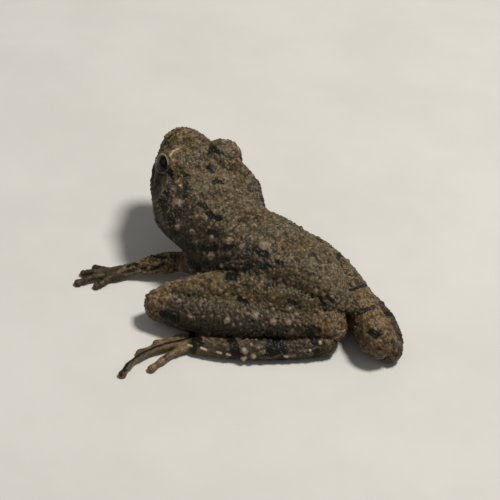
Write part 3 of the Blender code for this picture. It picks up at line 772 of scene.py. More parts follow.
# granule relief, high on the granules and low in the crevices, where the skin material paints shade
MASKS["grain"] = np.clip(0.62 * grain_height + 0.26 * pucker + 0.14, 0, 1) * (1 - smooth_zone) + 0.75 * smooth_zone
MASKS["tone"] = np.clip(0.5 + 0.5 * tone * (1 - 0.7 * smooth_zone), 0, 1)

# scattered warts, larger on the flanks, none on the belly and toes
wart_gap = np.where(on_body > 0.5, 1.35 - 0.45 * np.clip(flank, 0, 1), 1.25)
wart_gap = wart_gap + 9.0 * (under > 0.45) + 9.0 * (smooth_zone > 0.3) + 9.0 * (part("upper_arm") > 0.5)
for i in scatter(wart_gap, 9000, 23):
    big = rng.uniform(0.15, 0.30) * (1 + 0.35 * min(1.0, flank[i]))
    if head_top[i] > 0.5:
        big *= 0.75
    touch(co[i], big, 0.62 * big, "pale", rng.uniform(0.0, 0.36), i, 1.1)
    # painted shadow: some warts get a dark patch on the skin just below them
    if rng.uniform() < 0.30:
        n = Vector(normal[i])
        drop = Vector(co[i]) - Vector((0, 0, 1)) * big * 0.9
        p, k, _ = tree.find(drop)
        touch(p, big * 1.1, 0.0, "dark", rng.uniform(0.3, 0.8), k)

# ---------------------------------------------------------------- warts, spots and lines where the animal shows them
PALE_WARTS = (   # u, v, radius, height, how pale
    (177, 204, 0.60, 0.17, 0.70), (230, 197, 0.34, 0.11, 0.60), (243, 172, 0.26, 0.09, 0.45), (178, 227, 0.36, 0.13, 0.85),
    (193, 232, 0.36, 0.14, 0.85), (229, 241, 0.36, 0.14, 0.80), (264, 247, 0.50, 0.15, 0.75), (212, 256, 0.48, 0.15, 0.80),
    (197, 242, 0.28, 0.10, 0.70), (212, 238, 0.30, 0.11, 0.65), (229, 254, 0.26, 0.10, 0.60), (242, 246, 0.26, 0.10, 0.65),
    # (181, 187) is a small bump whose paleness is a painted highlight
    (222, 266, 0.25, 0.09, 0.70), (190, 187, 0.34, 0.13, 0.35), (176, 183, 0.26, 0.10, 0.45), (181, 187, 0.16, 0.07, 0.80),
    (173, 190, 0.20, 0.08, 0.55), (196, 217, 0.24, 0.08, 0.60), (209, 228, 0.20, 0.08, 0.45), (216, 226, 0.18, 0.08, 0.55),
    (233, 265, 0.22, 0.08, 0.45), (205, 253, 0.22, 0.08, 0.60), (243, 230, 0.24, 0.08, 0.35), (268, 262, 0.20, 0.07, 0.30),
    (190, 316, 0.26, 0.12, 0.80), (227, 321, 0.29, 0.14, 1.00), (255, 317, 0.30, 0.14, 1.00), (273, 322, 0.32, 0.15, 1.00),
    (288, 323, 0.28, 0.14, 0.95), (296, 315, 0.26, 0.12, 0.70), (248, 314, 0.22, 0.10, 0.70), (179, 301, 0.27, 0.11, 0.75), (244, 298, 0.14, 0.06, 0.90),
    (219, 302, 0.22, 0.08, 0.45), (270, 305, 0.24, 0.09, 0.45), (203, 317, 0.16, 0.07, 0.60), (240, 324, 0.14, 0.06, 0.60),
    (237, 312, 0.20, 0.08, 0.35), (245, 313, 0.18, 0.08, 0.40), (262, 282, 0.15, 0.06, 0.80), (252, 280, 0.13, 0.06, 0.80),
    (172, 283, 0.14, 0.06, 0.80), (187, 281, 0.16, 0.06, 0.45), (300, 325, 0.16, 0.07, 0.60), (338, 332, 0.20, 0.06, 0.85),
    (244, 351, 0.32, 0.15, 0.80), (244, 358, 0.34, 0.16, 1.00), (253, 356, 0.26, 0.13, 0.90), (251, 345, 0.22, 0.11, 0.70),
    (258, 348, 0.20, 0.10, 0.70), (262, 343, 0.18, 0.09, 0.60), (256, 340, 0.18, 0.08, 0.60), (264, 352, 0.18, 0.09, 0.55),
    (247, 340, 0.16, 0.08, 0.55), (224, 345, 0.20, 0.09, 0.65), (228, 350, 0.16, 0.08, 0.60), (221, 340, 0.16, 0.07, 0.50),
    (320, 343, 0.24, 0.11, 0.85), (301, 341, 0.18, 0.07, 0.40), (292, 338, 0.18, 0.07, 0.35),
    (123, 279, 0.22, 0.08, 0.90), (110, 284, 0.18, 0.07, 0.80), (124, 269, 0.20, 0.07, 0.60), (311, 300, 0.16, 0.05, 0.70),
    (255, 188, 0.18, 0.07, 0.45), (222, 143, 0.20, 0.07, 0.30), (241, 207, 0.16, 0.06, 0.35), (236, 214, 0.14, 0.06, 0.40),
    (286, 232, 0.24, 0.08, 0.30), (296, 258, 0.20, 0.07, 0.25), (310, 272, 0.22, 0.08, 0.30), (270, 234, 0.28, 0.09, 0.25),
)
# painted shadow: a dark patch just below each pale wart, in a shallow dent
for u, v, r, h, m in PALE_WARTS:
    stroke([(u, v + 11.36 * r * 0.60)], r * 0.95, -0.03, "dark", 0.85, 1.0, 0.3)
for u, v, r, h, m in PALE_WARTS:
    stroke([(u, v)], r * 1.02, h * 1.70, "pale", min(1.0, m), 1.05, 0.38)
for u, v, r in ((178, 207, 0.17), (191, 188, 0.12), (229, 198, 0.10), (244, 222, 0.12)):
    stroke([(u, v)], r, 0.0, "pit", 0.8, 1.0, 0.2)

SPOTS = (   # places in the view, radius, strength, mask, height
    # head and nape
    ([(213, 167)], 0.50, 0.0, "dark", 0.22), ([(212, 168)], 0.44, 1.00, "dark", 0.0), ([(209, 169), (212, 172)], 0.26, 1.0, "black", 0.0),
    ([(218, 183)], 0.50, 0.0, "dark", 0.16), ([(215, 182), (220, 183)], 0.40, 1.00, "black", 0.0),
    ([(191, 187)], 0.42, 0.0, "dark", 0.20), ([(230, 197)], 0.46, 0.0, "dark", 0.18), ([(193, 164)], 0.26, 0.0, "dark", 0.10),
    ([(212, 147), (216, 151), (221, 153)], 0.26, 1.00, "black", 0.0), ([(226, 155), (230, 157)], 0.20, 0.80, "dark", 0.0),
    ([(203, 157), (209, 154), (212, 149)], 0.24, 0.75, "dark", 0.0), ([(219, 143), (216, 147)], 0.16, 0.60, "dark", 0.0),
    ([(222, 161), (224, 163)], 0.20, 0.7, "dark", 0.0), ([(231, 166)], 0.20, 0.65, "dark", 0.0), ([(241, 156)], 0.22, 0.6, "dark", 0.0),
    ([(198, 138), (203, 141)], 0.20, 0.75, "dark", 0.0), ([(202, 157)], 0.16, 0.6, "dark", 0.0), ([(210, 187), (214, 189)], 0.14, 0.5, "dark", 0.0),
    ([(183, 172), (187, 176)], 0.22, 0.75, "dark", 0.0), ([(188, 184), (187, 189)], 0.20, 0.80, "dark", 0.0),
    ([(196, 168), (199, 165)], 0.18, 0.75, "dark", 0.0), ([(187, 162), (190, 164)], 0.16, 0.70, "dark", 0.0),
    # side of the snout, round the eye and along the jaw
    ([(171, 136), (169, 139)], 0.20, 0.95, "black", 0.0), ([(166, 142), (169, 146), (173, 149)], 0.28, 0.85, "dark", 0.0),
    ([(162, 147), (159, 151)], 0.24, 0.70, "dark", 0.0), ([(176, 140), (178, 144)], 0.16, 0.50, "dark", 0.0),
    ([(155, 163), (154, 169), (155, 174)], 0.28, 0.85, "dark", 0.0), ([(157, 178), (155, 184)], 0.30, 0.90, "dark", 0.0),
    ([(153, 190), (152, 195)], 0.26, 0.80, "dark", 0.0), ([(157, 155)], 0.20, 0.6, "dark", 0.0),
    ([(166, 175), (169, 177), (171, 172)], 0.30, 1.00, "black", 0.0), ([(163, 183), (168, 188), (172, 182)], 0.30, 0.85, "dark", 0.0),
    ([(166, 193), (163, 200), (167, 206)], 0.32, 0.95, "black", 0.0), ([(170, 216), (172, 223)], 0.30, 0.85, "black", 0.0),
    ([(246, 185), (251, 191)], 0.24, 0.65, "dark", 0.0), ([(256, 203), (259, 206)], 0.24, 0.65, "black", 0.0),
    ([(187, 140)], 0.16, 0.4, "dark", 0.0), ([(194, 158)], 0.18, 0.45, "dark", 0.0),
    ([(197, 167)], 0.16, 0.5, "dark", 0.0), ([(186, 163)], 0.16, 0.4, "dark", 0.0), ([(227, 183)], 0.16, 0.4, "dark", 0.0),
    ([(228, 195), (234, 200)], 0.26, 0.45, "dark", 0.0), ([(200, 204), (206, 208)], 0.30, 0.85, "black", 0.0),
    ([(209, 213), (214, 217), (220, 219)], 0.34, 1.0, "black", 0.0), ([(211, 232), (218, 234)], 0.36, 0.9, "black", 0.0),
    ([(240, 221), (245, 222)], 0.28, 0.8, "black", 0.0), ([(249, 214), (256, 216), (262, 218)], 0.24, 0.75, "dark", 0.0),
    ([(270, 206), (275, 210)], 0.20, 0.6, "dark", 0.0), ([(283, 217), (287, 218)], 0.20, 0.6, "dark", 0.0),
    ([(248, 227), (253, 231)], 0.22, 0.45, "dark", 0.0),
    # back and rump
    ([(290, 243), (297, 248)], 0.22, 0.7, "dark", 0.0), ([(312, 253), (315, 257), (319, 262)], 0.20, 0.85, "black", 0.0),
    ([(297, 275)], 0.24, 0.6, "dark", 0.0), ([(279, 262), (284, 266)], 0.26, 0.7, "dark", 0.0), ([(318, 287)], 0.20, 0.5, "dark", 0.0),
    ([(334, 284)], 0.14, 0.5, "dark", 0.0), ([(303, 258)], 0.16, 0.4, "dark", 0.0), ([(313, 275)], 0.18, 0.45, "dark", 0.0),
    ([(285, 275), (289, 280)], 0.22, 0.5, "dark", 0.0), ([(276, 250)], 0.18, 0.45, "dark", 0.0), ([(301, 292)], 0.18, 0.45, "dark", 0.0),
    ([(320, 297), (322, 301), (324, 304)], 0.17, 1.0, "black", 0.0), ([(327, 295), (330, 299), (333, 302)], 0.18, 1.0, "black", 0.0),
    ([(335, 297), (337, 299)], 0.12, 0.8, "black", 0.0),
    # flank: dark furrows between pale ridges
    ([(187, 245), (194, 248)], 0.30, 0.90, "black", -0.05), ([(203, 248), (211, 250), (216, 248)], 0.32, 0.95, "black", -0.06),
    ([(225, 248), (232, 246)], 0.28, 0.90, "black", -0.05), ([(240, 245), (250, 245)], 0.22, 0.80, "dark", -0.03),
    ([(224, 260), (229, 259)], 0.24, 0.75, "black", -0.04), ([(238, 258), (245, 257)], 0.24, 0.70, "black", -0.03),
    ([(188, 208), (197, 212)], 0.24, 0.70, "dark", 0.0), ([(206, 226), (212, 224), (219, 227)], 0.22, 0.60, "dark", 0.0),
    ([(226, 233), (233, 231), (238, 234)], 0.22, 0.65, "dark", 0.0), ([(196, 230), (202, 233)], 0.22, 0.60, "dark", 0.0), ([(256, 249), (262, 254), (266, 254)], 0.32, 0.95, "black", 0.0),
    ([(190, 262), (198, 266), (208, 264)], 0.46, 0.95, "black", -0.05), ([(212, 268), (222, 272)], 0.26, 0.7, "dark", 0.0),
    ([(245, 268), (250, 266)], 0.30, 0.95, "black", 0.0), ([(262, 267), (268, 266)], 0.32, 0.95, "black", 0.0),
    ([(254, 260), (262, 259)], 0.22, 0.6, "dark", 0.0), ([(246, 252)], 0.22, 0.7, "dark", 0.0), ([(278, 262), (282, 263)], 0.24, 0.9, "black", 0.0),
    ([(186, 236), (200, 237)], 0.26, 0.7, "dark", -0.04), ([(275, 276), (285, 279)], 0.22, 0.6, "dark", 0.0),
    ([(170, 216), (166, 226), (174, 236)], 0.40, 0.7, "dark", 0.0), ([(168, 196), (164, 206)], 0.34, 0.75, "black", 0.0),
    ([(176, 214), (186, 216)], 0.28, 0.7, "dark", 0.0), ([(185, 176), (186, 196)], 0.26, 0.7, "black", 0.0),
    ([(196, 196), (192, 206)], 0.30, 0.55, "dark", 0.0), ([(200, 226), (192, 222)], 0.24, 0.55, "dark", 0.0),
    # thigh
    ([(229, 276), (236, 277)], 0.46, 1.0, "black", 0.05), ([(240, 299), (246, 303)], 0.30, 0.95, "black", 0.0),
    ([(290, 301), (296, 303)], 0.27, 0.9, "black", 0.0), ([(246, 286), (251, 287)], 0.24, 0.7, "black", 0.0),
    ([(269, 284), (275, 285)], 0.24, 0.85, "black", 0.0), ([(211, 290), (217, 290)], 0.20, 0.6, "dark", 0.0),
    ([(174, 292), (180, 294)], 0.30, 0.6, "dark", 0.0), ([(192, 292), (199, 297)], 0.34, 0.65, "dark", 0.0),
    ([(230, 288), (236, 292)], 0.26, 0.5, "dark", 0.0), ([(201, 278)], 0.16, 0.5, "dark", 0.0), ([(170, 288)], 0.18, 0.6, "dark", 0.0),
    ([(255, 292), (262, 296)], 0.22, 0.4, "dark", 0.0), ([(318, 292)], 0.18, 0.45, "dark", 0.0),
    # shank
    ([(163, 313), (170, 316), (177, 319)], 0.32, 1.0, "black", 0.0), ([(186, 325), (194, 329)], 0.26, 0.85, "dark", 0.0),
    ([(170, 306), (184, 308), (196, 308)], 0.42, 0.55, "dark", 0.0), ([(204, 309), (218, 312), (228, 314)], 0.36, 0.45, "dark", 0.0),
    ([(203, 322), (214, 326), (222, 328)], 0.34, 0.6, "dark", 0.0), ([(228, 328), (240, 331), (258, 331)], 0.34, 0.65, "dark", 0.0),
    ([(265, 330), (285, 329), (305, 328), (318, 328)], 0.32, 0.6, "dark", 0.0), ([(311, 327), (319, 331)], 0.28, 0.85, "black", 0.0),
    ([(284, 313), (288, 316)], 0.20, 0.4, "dark", 0.0), ([(262, 312), (266, 315)], 0.20, 0.4, "dark", 0.0),
    # bars on the tarsus
    ([(193, 333), (196, 338), (199, 344)], 0.46, 1.0, "black", 0.0), ([(230, 338), (234, 344), (236, 351), (237, 356)], 0.40, 1.0, "black", 0.0),
    ([(268, 335), (271, 342), (272, 349), (273, 354)], 0.52, 1.0, "black", 0.0), ([(276, 337), (277, 345)], 0.40, 1.0, "black", 0.0),
    ([(309, 331), (313, 337), (315, 343)], 0.34, 0.95, "black", 0.0), ([(222, 341), (225, 347)], 0.20, 0.7, "dark", 0.0),
    ([(206, 338), (211, 342), (216, 346)], 0.14, 0.7, "dark", 0.0), ([(211, 337), (218, 341)], 0.14, 0.6, "dark", 0.0),
    ([(290, 338), (296, 343)], 0.18, 0.5, "dark", 0.0), ([(300, 337), (303, 343)], 0.18, 0.5, "dark", 0.0),
    # far leg
    ([(349, 291), (357, 288), (366, 285)], 0.24, 0.95, "black", 0.0), ([(355, 284), (361, 282)], 0.16, 0.60, "dark", 0.0),
    ([(360, 313), (367, 310), (374, 307)], 0.24, 0.90, "black", 0.0), ([(375, 299)], 0.18, 0.85, "black", 0.0),
    ([(371, 332), (376, 335), (380, 333)], 0.34, 1.00, "black", 0.0), ([(384, 316)], 0.16, 0.70, "dark", 0.0),
    ([(392, 341), (395, 347)], 0.24, 0.85, "black", 0.0), ([(352, 303), (356, 300)], 0.16, 0.50, "dark", 0.0),
    ([(362, 322), (367, 320)], 0.20, 0.60, "dark", 0.0), ([(386, 328), (390, 331)], 0.16, 0.60, "dark", 0.0),
    # long toe
    ([(124, 371), (129, 362), (138, 356), (147, 351), (156, 347), (168, 343), (182, 340), (190, 338)], 0.15, 1.0, "black", 0.0),
    ([(160, 352), (165, 357), (167, 362)], 0.20, 0.85, "dark", 0.0),
    # forearm and hand
    ([(129, 266), (134, 264), (141, 267), (145, 268)], 0.22, 1.0, "black", 0.0), ([(129, 271), (134, 270)], 0.18, 0.8, "black", 0.0),
    ([(152, 269), (158, 267), (163, 264)], 0.20, 1.0, "black", 0.0), ([(140, 274), (147, 274)], 0.14, 0.8, "black", 0.0),
    ([(125, 281), (133, 278), (138, 276)], 0.20, 0.75, "dark", 0.0), ([(106, 270), (114, 272), (118, 276)], 0.34, 0.8, "dark", 0.0),
    ([(104, 279), (112, 280)], 0.26, 0.7, "dark", 0.0), ([(97, 274), (98, 281)], 0.16, 0.8, "dark", 0.0),
    ([(86, 274), (90, 273)], 0.16, 0.9, "dark", 0.0), ([(76, 278), (74, 282)], 0.18, 0.9, "dark", 0.0),
    ([(153, 256), (160, 257), (165, 258)], 0.20, 0.9, "black", 0.0),
)
# painted shade, together with the frog's own dark colour: the sides turned away from the light and the lower side of
# the shank are darkened
DARK_ZONES_AND_PAINTED_SHADE = (   # broad dark areas of the flank, shoulder, side of the head and lower leg
    ([(170, 204), (173, 220), (180, 238), (190, 256), (198, 266)], 0.85, 0.90), ([(184, 208), (194, 222), (202, 238), (208, 252), (216, 264)], 0.75, 0.80),
    ([(206, 222), (216, 232), (226, 240)], 0.55, 0.70), ([(215, 246), (232, 249), (250, 250), (262, 256)], 0.80, 0.86),
    ([(222, 262), (240, 262), (258, 263)], 0.60, 0.84), ([(174, 186), (182, 194), (194, 204)], 0.55, 0.62), ([(244, 240), (254, 244)], 0.50, 0.70),
    ([(157, 172), (156, 184), (160, 198), (164, 210)], 0.45, 0.80), ([(158, 148), (156, 160)], 0.35, 0.60),
    ([(170, 250), (178, 258), (186, 268)], 0.50, 0.70), ([(200, 326), (222, 329), (250, 330), (280, 329), (306, 328)], 0.42, 0.80),
    ([(170, 308), (186, 314), (204, 318), (226, 324)], 0.60, 0.55), ([(246, 322), (270, 325)], 0.50, 0.50),
    ([(104, 272), (112, 275), (119, 277)], 0.42, 0.75), ([(206, 344), (222, 348)], 0.36, 0.55), ([(288, 346), (304, 344)], 0.36, 0.50),
)
for pts, r, amount in DARK_ZONES_AND_PAINTED_SHADE:
    stroke(pts, r, 0.0, "dark", amount, 1.0, 0.40)
for pts, r, amount, mask, rise in SPOTS:
    stroke(pts, r, rise, mask, amount, 0.9, 0.35)

LINES_PALE = (   # thin pale or cream lines: places in the view, radius, strength, mask, height
    ([(194, 219), (200, 217), (206, 218)], 0.20, 0.45, "pale", 0.07), ([(200, 241), (206, 240)], 0.20, 0.45, "pale", 0.08),
    ([(211, 241), (216, 240)], 0.18, 0.40, "pale", 0.07), ([(222, 240), (227, 243)], 0.20, 0.45, "pale", 0.08),
    ([(236, 241), (240, 243)], 0.18, 0.35, "pale", 0.06), ([(206, 256), (210, 258)], 0.22, 0.50, "pale", 0.09),
    ([(219, 256), (223, 254)], 0.18, 0.40, "pale", 0.07), ([(236, 254), (240, 252)], 0.18, 0.35, "pale", 0.07),
    ([(190, 217), (198, 216), (204, 219)], 0.18, 0.45, "pale", 0.05), ([(222, 266), (232, 262), (244, 261)], 0.18, 0.40, "pale", 0.05),
    ([(204, 237), (216, 236), (230, 235)], 0.18, 0.35, "tan", 0.03),
    ([(184, 306), (188, 312), (193, 319)], 0.12, 0.55, "pale", 0.05), ([(164, 304), (164, 309)], 0.16, 0.50, "pale", 0.0),
    ([(172, 157), (174, 160), (173, 165)], 0.20, 0.95, "warm", 0.0), ([(162, 174), (165, 176)], 0.26, 0.55, "pale", 0.03),
    ([(159, 204), (161, 210), (162, 216)], 0.13, 0.42, "pale", 0.0), ([(155, 158), (157, 162)], 0.26, 0.80, "warm", 0.0),
    ([(153, 184), (157, 191), (159, 196)], 0.30, 0.85, "warm", 0.0), ([(158, 169), (160, 171)], 0.22, 0.70, "warm", 0.0),
    ([(163, 138), (167, 133)], 0.28, 0.70, "warm", 0.0), ([(172, 145), (175, 147)], 0.22, 0.75, "warm", 0.0),
    ([(190, 217), (196, 216), (204, 218)], 0.20, 0.70, "warm", 0.05), ([(173, 252), (182, 258)], 0.40, 0.50, "warm", 0.0),
    # the cream dot at (180, 186) is a painted highlight
    ([(180, 186)], 0.12, 0.80, "cream", 0.05), ([(188, 345), (192, 346)], 0.10, 0.80, "cream", 0.04),
    ([(344, 330), (339, 336), (333, 339)], 0.11, 0.45, "cream", 0.03),
    ([(201, 348), (206, 350)], 0.110, 0.78, "cream", 0.07), ([(217, 352), (221, 353)], 0.100, 0.72, "cream", 0.06),
    ([(227, 354), (230, 355)], 0.100, 0.68, "cream", 0.06), ([(243, 358)], 0.24, 0.45, "cream", 0.0), ([(244, 350)], 0.20, 0.38, "cream", 0.0),
    ([(254, 356)], 0.18, 0.42, "cream", 0.0), ([(284, 356), (288, 356)], 0.12, 0.55, "cream", 0.04), ([(310, 350)], 0.13, 0.65, "cream", 0.05),
    ([(320, 343)], 0.16, 0.60, "cream", 0.05), ([(251, 346)], 0.12, 0.35, "cream", 0.0), ([(262, 358), (272, 357), (282, 354)], 0.13, 0.70, "pale", 0.05),
    ([(285, 356), (295, 355)], 0.14, 0.85, "pale", 0.05), ([(300, 351), (310, 350), (318, 347)], 0.13, 0.65, "pale", 0.05),
    ([(204, 337), (210, 342), (215, 345)], 0.12, 0.55, "pale", 0.04), ([(208, 335), (214, 339)], 0.10, 0.45, "pale", 0.03),
    ([(126, 275), (133, 273), (140, 270)], 0.13, 0.70, "pale", 0.03), ([(118, 272), (123, 270)], 0.18, 0.55, "pale", 0.03),
)
for pts, r, amount, mask, rise in LINES_PALE:
    stroke(pts, r, rise, mask, amount * (0.75 if mask == "pale" else 1.0), 1.0, 0.35)

# ---------------------------------------------------------------- broad colour zones
ang_out = body_angle
tan_zone = 0.55 * part("thigh_left", "thigh_right") + 0.90 * part("upper_arm", "forearm") + 0.15 * part("tarsus") + \
    0.25 * part("metatarsus") + 0.85 * part("toe") + 0.55 * part("palm", "finger") + 0.65 * part("shank_right")
MASKS["tan"] = np.maximum(MASKS["tan"], np.clip(tan_zone + 0.25 * coarse * tan_zone, 0, 1))
for side in ("left", "right"):
    t = ALONG["thigh_" + side]
    s = ALONG["shank_" + side]
    ta = ALONG["tarsus_" + side]
    knee = part("thigh_" + side) * step(t, 0.86, 0.97) + part("shank_" + side) * (1 - step(s, 0.01, 0.09))
    heel = part("shank_" + side) * step(s, 0.80, 0.93) + part("tarsus_" + side) * (1 - step(ta, 0.0, 0.10))
    MASKS["warm"] = np.maximum(MASKS["warm"], np.clip(0.95 * knee + 0.75 * heel, 0, 1) * (0.8 + 0.2 * ragged))
    inner = part("shank_" + side) * step(-DIST["thigh_" + side], -0.5, -0.15)
    MASKS["grey"] = np.maximum(MASKS["grey"], part("shank_" + side) * (0.75 if side == "left" else 0.20) * (1 - heel) * (1 - knee))
    MASKS["grey"] = np.maximum(MASKS["grey"], 0.80 * part("tarsus_" + side) + 0.70 * part("metatarsus_" + side) * (1 - step(ALONG["metatarsus_" + side], 0.75, 1.0)))
    MASKS["warm"] = np.maximum(MASKS["warm"], 0.35 * part("toe") + 0.35 * part("forearm_" + side))
    # the tarsus darker all over: partly its own dark colour, partly painted shade
    MASKS["dark"] = np.maximum(MASKS["dark"], np.clip(part("tarsus_" + side) * (0.52 + 0.45 * speckle), 0, 0.84))
    # painted shade: the shank darker on its sides and lower side, speckled, away from knee and heel
    MASKS["dark"] = np.maximum(MASKS["dark"], np.clip(part("shank_" + side) * (1 - heel) * (1 - knee)
                                                      * (1 - step(np.sin(ANGLE["shank_" + side]), -0.1, 0.75)) * (0.62 + 0.5 * speckle), 0, 0.85))
    # cross bars
    wob = 0.025 * coarse + 0.012 * ragged
    if side == "left":
        bars = ((0.68, 0.075), (0.20, 0.050))
    else:
        bars = ((0.66, 0.070), (0.22, 0.050))
    for at, wide in bars:
        band = np.exp(-(((ta + wob - at) / wide) ** 4)) * part("tarsus_" + side)
        MASKS["black"] = np.maximum(MASKS["black"], 0.95 * np.clip(band, 0, 1))
    tm = ALONG["metatarsus_" + side]
    band = np.exp(-(((tm + wob - 0.24) / 0.085) ** 4)) * part("metatarsus_" + side)
    MASKS["black"] = np.maximum(MASKS["black"], 0.95 * np.clip(band, 0, 1))
    band = step(tm + wob, 0.92, 0.97) * part("metatarsus_" + side, "toe3_" + side, "toe4_" + side) * (1 - step(ALONG["toe3_" + side], 0.03, 0.10))
    MASKS["black"] = np.maximum(MASKS["black"], 0.95 * np.clip(band, 0, 1))
    if side == "right":
        th = ANGLE["shank_right"]
        for at, wide in ((0.10, 0.025), (0.26, 0.03), (0.43, 0.028)):
            band = np.exp(-(((s + wob * 1.4 - at) / wide) ** 4)) * part("shank_right") * step(np.sin(th), -0.3, 0.2)
            MASKS["black"] = np.maximum(MASKS["black"], 0.80 * band * step(ragged + coarse, -0.7, -0.1))
        for at, wide in ((0.25, 0.04), (0.50, 0.045), (0.74, 0.035)):
            band = np.exp(-(((t + wob * 1.4 - at) / wide) ** 4)) * part("thigh_right") * step(up_facing, 0.0, 0.5)
            MASKS["dark"] = np.maximum(MASKS["dark"], 0.75 * band)
    # toe stripes along the outer toes, rings on the fingers
    line4 = np.exp(-((np.abs(ANGLE["toe3_" + side] - math.pi / 2) / 0.9) ** 4)) * part("toe3_" + side)
    MASKS["dark"] = np.maximum(MASKS["dark"], 0.95 * line4 * step(ALONG["toe3_" + side], 0.02, 0.12))
    for k in (0, 1, 2, 4):
        t5 = ALONG[f"toe{k}_{side}"]
        ring = 0.5 + 0.5 * np.sin(t5 * 26 + k)
        MASKS["dark"] = np.maximum(MASKS["dark"], 0.55 * step(ring, 0.55, 0.85) * part(f"toe{k}_{side}") * step(up_facing, 0.1, 0.5))
    for k in range(4):
        tf = ALONG[f"finger{k}_{side}"]
        ring = 0.5 + 0.5 * np.sin(tf * 21 + 1.3 * k)
        MASKS["dark"] = np.maximum(MASKS["dark"], (0.30 + 0.55 * step(ring, 0.45, 0.75)) * part(f"finger{k}_{side}"))
    # palm and fingers darker: partly their own colour, partly painted shade
    MASKS["dark"] = np.maximum(MASKS["dark"], np.clip(part("palm_" + side, "finger") * (0.74 + 0.5 * speckle), 0, 0.90))
mt = part("metatarsus_left", "metatarsus_right")

# inner side of the far leg: smooth, orange-brown, darkened by painted shade
inner_side = part("shank_right") * step(normal[:, 0], 0.35, 0.75) * step(ALONG["shank_right"], 0.45, 0.62)
MASKS["warm"] = np.maximum(MASKS["warm"], inner_side)
MASKS["dark"] = np.maximum(MASKS["dark"] * (1 - 0.5 * inner_side), 0.42 * inner_side)
# side of the head: dark patch behind the eye, lips with upright bars
for sign in (1, -1):
    out = ho * sign
    behind = np.exp(-(((hs - 6.9) / 1.6) ** 2 + ((hu - 0.95) / 0.80) ** 2)) * step(out, 1.5, 2.6) * on_head
    MASKS["dark"] = np.maximum(MASKS["dark"], 0.80 * np.clip(behind * 1.5, 0, 1) * (0.8 + 0.3 * ragged))
    patch = np.exp(-(((hs - 6.15) / 0.55) ** 2 + ((hu - 1.55) / 0.50) ** 2)) * step(out, 1.5, 2.6) * on_head
    MASKS["black"] = np.maximum(MASKS["black"], np.clip(patch * 1.5, 0, 1))
    lore = np.exp(-(((hs - 2.2) / 1.3) ** 2 + ((hu - 0.95) / 0.42) ** 2)) * step(out, 0.6, 1.2) * on_head
    MASKS["dark"] = np.maximum(MASKS["dark"], 0.55 * np.clip(lore * 1.4, 0, 1) * (0.7 + 0.5 * ragged))
    lips = step(lip, -0.05, 0.05) * (1 - step(lip, 0.60, 0.95)) * step(out, 0.3, 0.8) * on_head * (1 - step(hs, 7.6, 8.3))
    MASKS["warm"] = np.maximum(MASKS["warm"], 0.55 * lips)
    snout = np.exp(-((hs - 1.0) / 1.9) ** 2) * step(hu, 0.35, 0.9) * on_head
    MASKS["tan"] = np.maximum(MASKS["tan"], 0.85 * np.clip(snout, 0, 1))
    bars = step(np.sin((hs + 0.25 * coarse) * 2 * math.pi / 1.15), 0.05, 0.45)
    MASKS["dark"] = np.maximum(MASKS["dark"], 0.85 * lips * bars * (0.75 + 0.4 * ragged))
    MASKS["pale"] = np.maximum(MASKS["pale"], 0.60 * lips * (1 - bars) * step(hs, 5.6, 6.4))
# dark shoulder and flank zone on both sides, paler to the belly: partly the frog's dark flank colour, partly painted
# shade on the sides turned away from the light
side_zone = np.exp(-((np.abs(np.abs(body_angle - math.pi / 2) - 1.50) / 0.42) ** 2)) * on_body * step(hs, 7.6, 8.8) * (1 - step(trunk_at, 13.3, 14.6))
streak = lumps(np.stack([trunk_at * 0.9, body_angle * 3.4, np.zeros(N)], 1), 0.5, 31, 2)
MASKS["dark"] = np.maximum(MASKS["dark"], np.clip(side_zone * (1.12 + 0.90 * streak), 0, 0.95))
MASKS["grey"] = np.maximum(MASKS["grey"], np.clip(side_zone * 1.1, 0, 0.85))
# low on the side of the head and neck, darker and greyer: partly the frog's own colour, partly painted shade
temple = on_body * (1 - step(hu, 1.0, 1.9)) * step(hs, 6.2, 7.4) * (1 - step(hs, 10.0, 11.5)) * np.exp(-((np.abs(np.abs(body_angle - math.pi / 2) - 1.10) / 0.36) ** 2))
MASKS["grey"] = np.maximum(MASKS["grey"], 0.8 * temple)
MASKS["dark"] = np.maximum(MASKS["dark"], np.clip(temple * (0.80 + 0.65 * ragged), 0, 0.85))
# underside
for k in ("dark", "black", "grey"):
    MASKS[k] *= 1 - 0.92 * lifted
deep = step(-up_facing, 0.45, 0.90)
belly = np.clip(deep * (part("body") * 1.0 + part("thigh", "shank", "tarsus", "upper_arm", "forearm") * 0.8
                         + part("toe", "finger", "palm", "metatarsus") * 0.5), 0, 1)
low_body = on_body * step(-np.sin(body_angle), 0.30, 0.75)
belly = np.clip(np.maximum(belly, on_body * step(-np.sin(body_angle), 0.66, 0.93) * np.where(hs < 8.5, 1, deep)), 0, 1)
MASKS["belly"] = belly
for k in ("dark", "black", "grey", "warm", "pale"):
    MASKS[k] *= 1 - 0.85 * belly
MASKS["pit"] = np.maximum(MASKS["pit"], 0.80 * np.exp(-(lip / 0.06) ** 2) * mouth)
throat = on_head * low_body
MASKS["dark"] = np.maximum(MASKS["dark"], 0.35 * throat * step(lumps(co, 0.5, 41, 2), 0.1, 0.5))

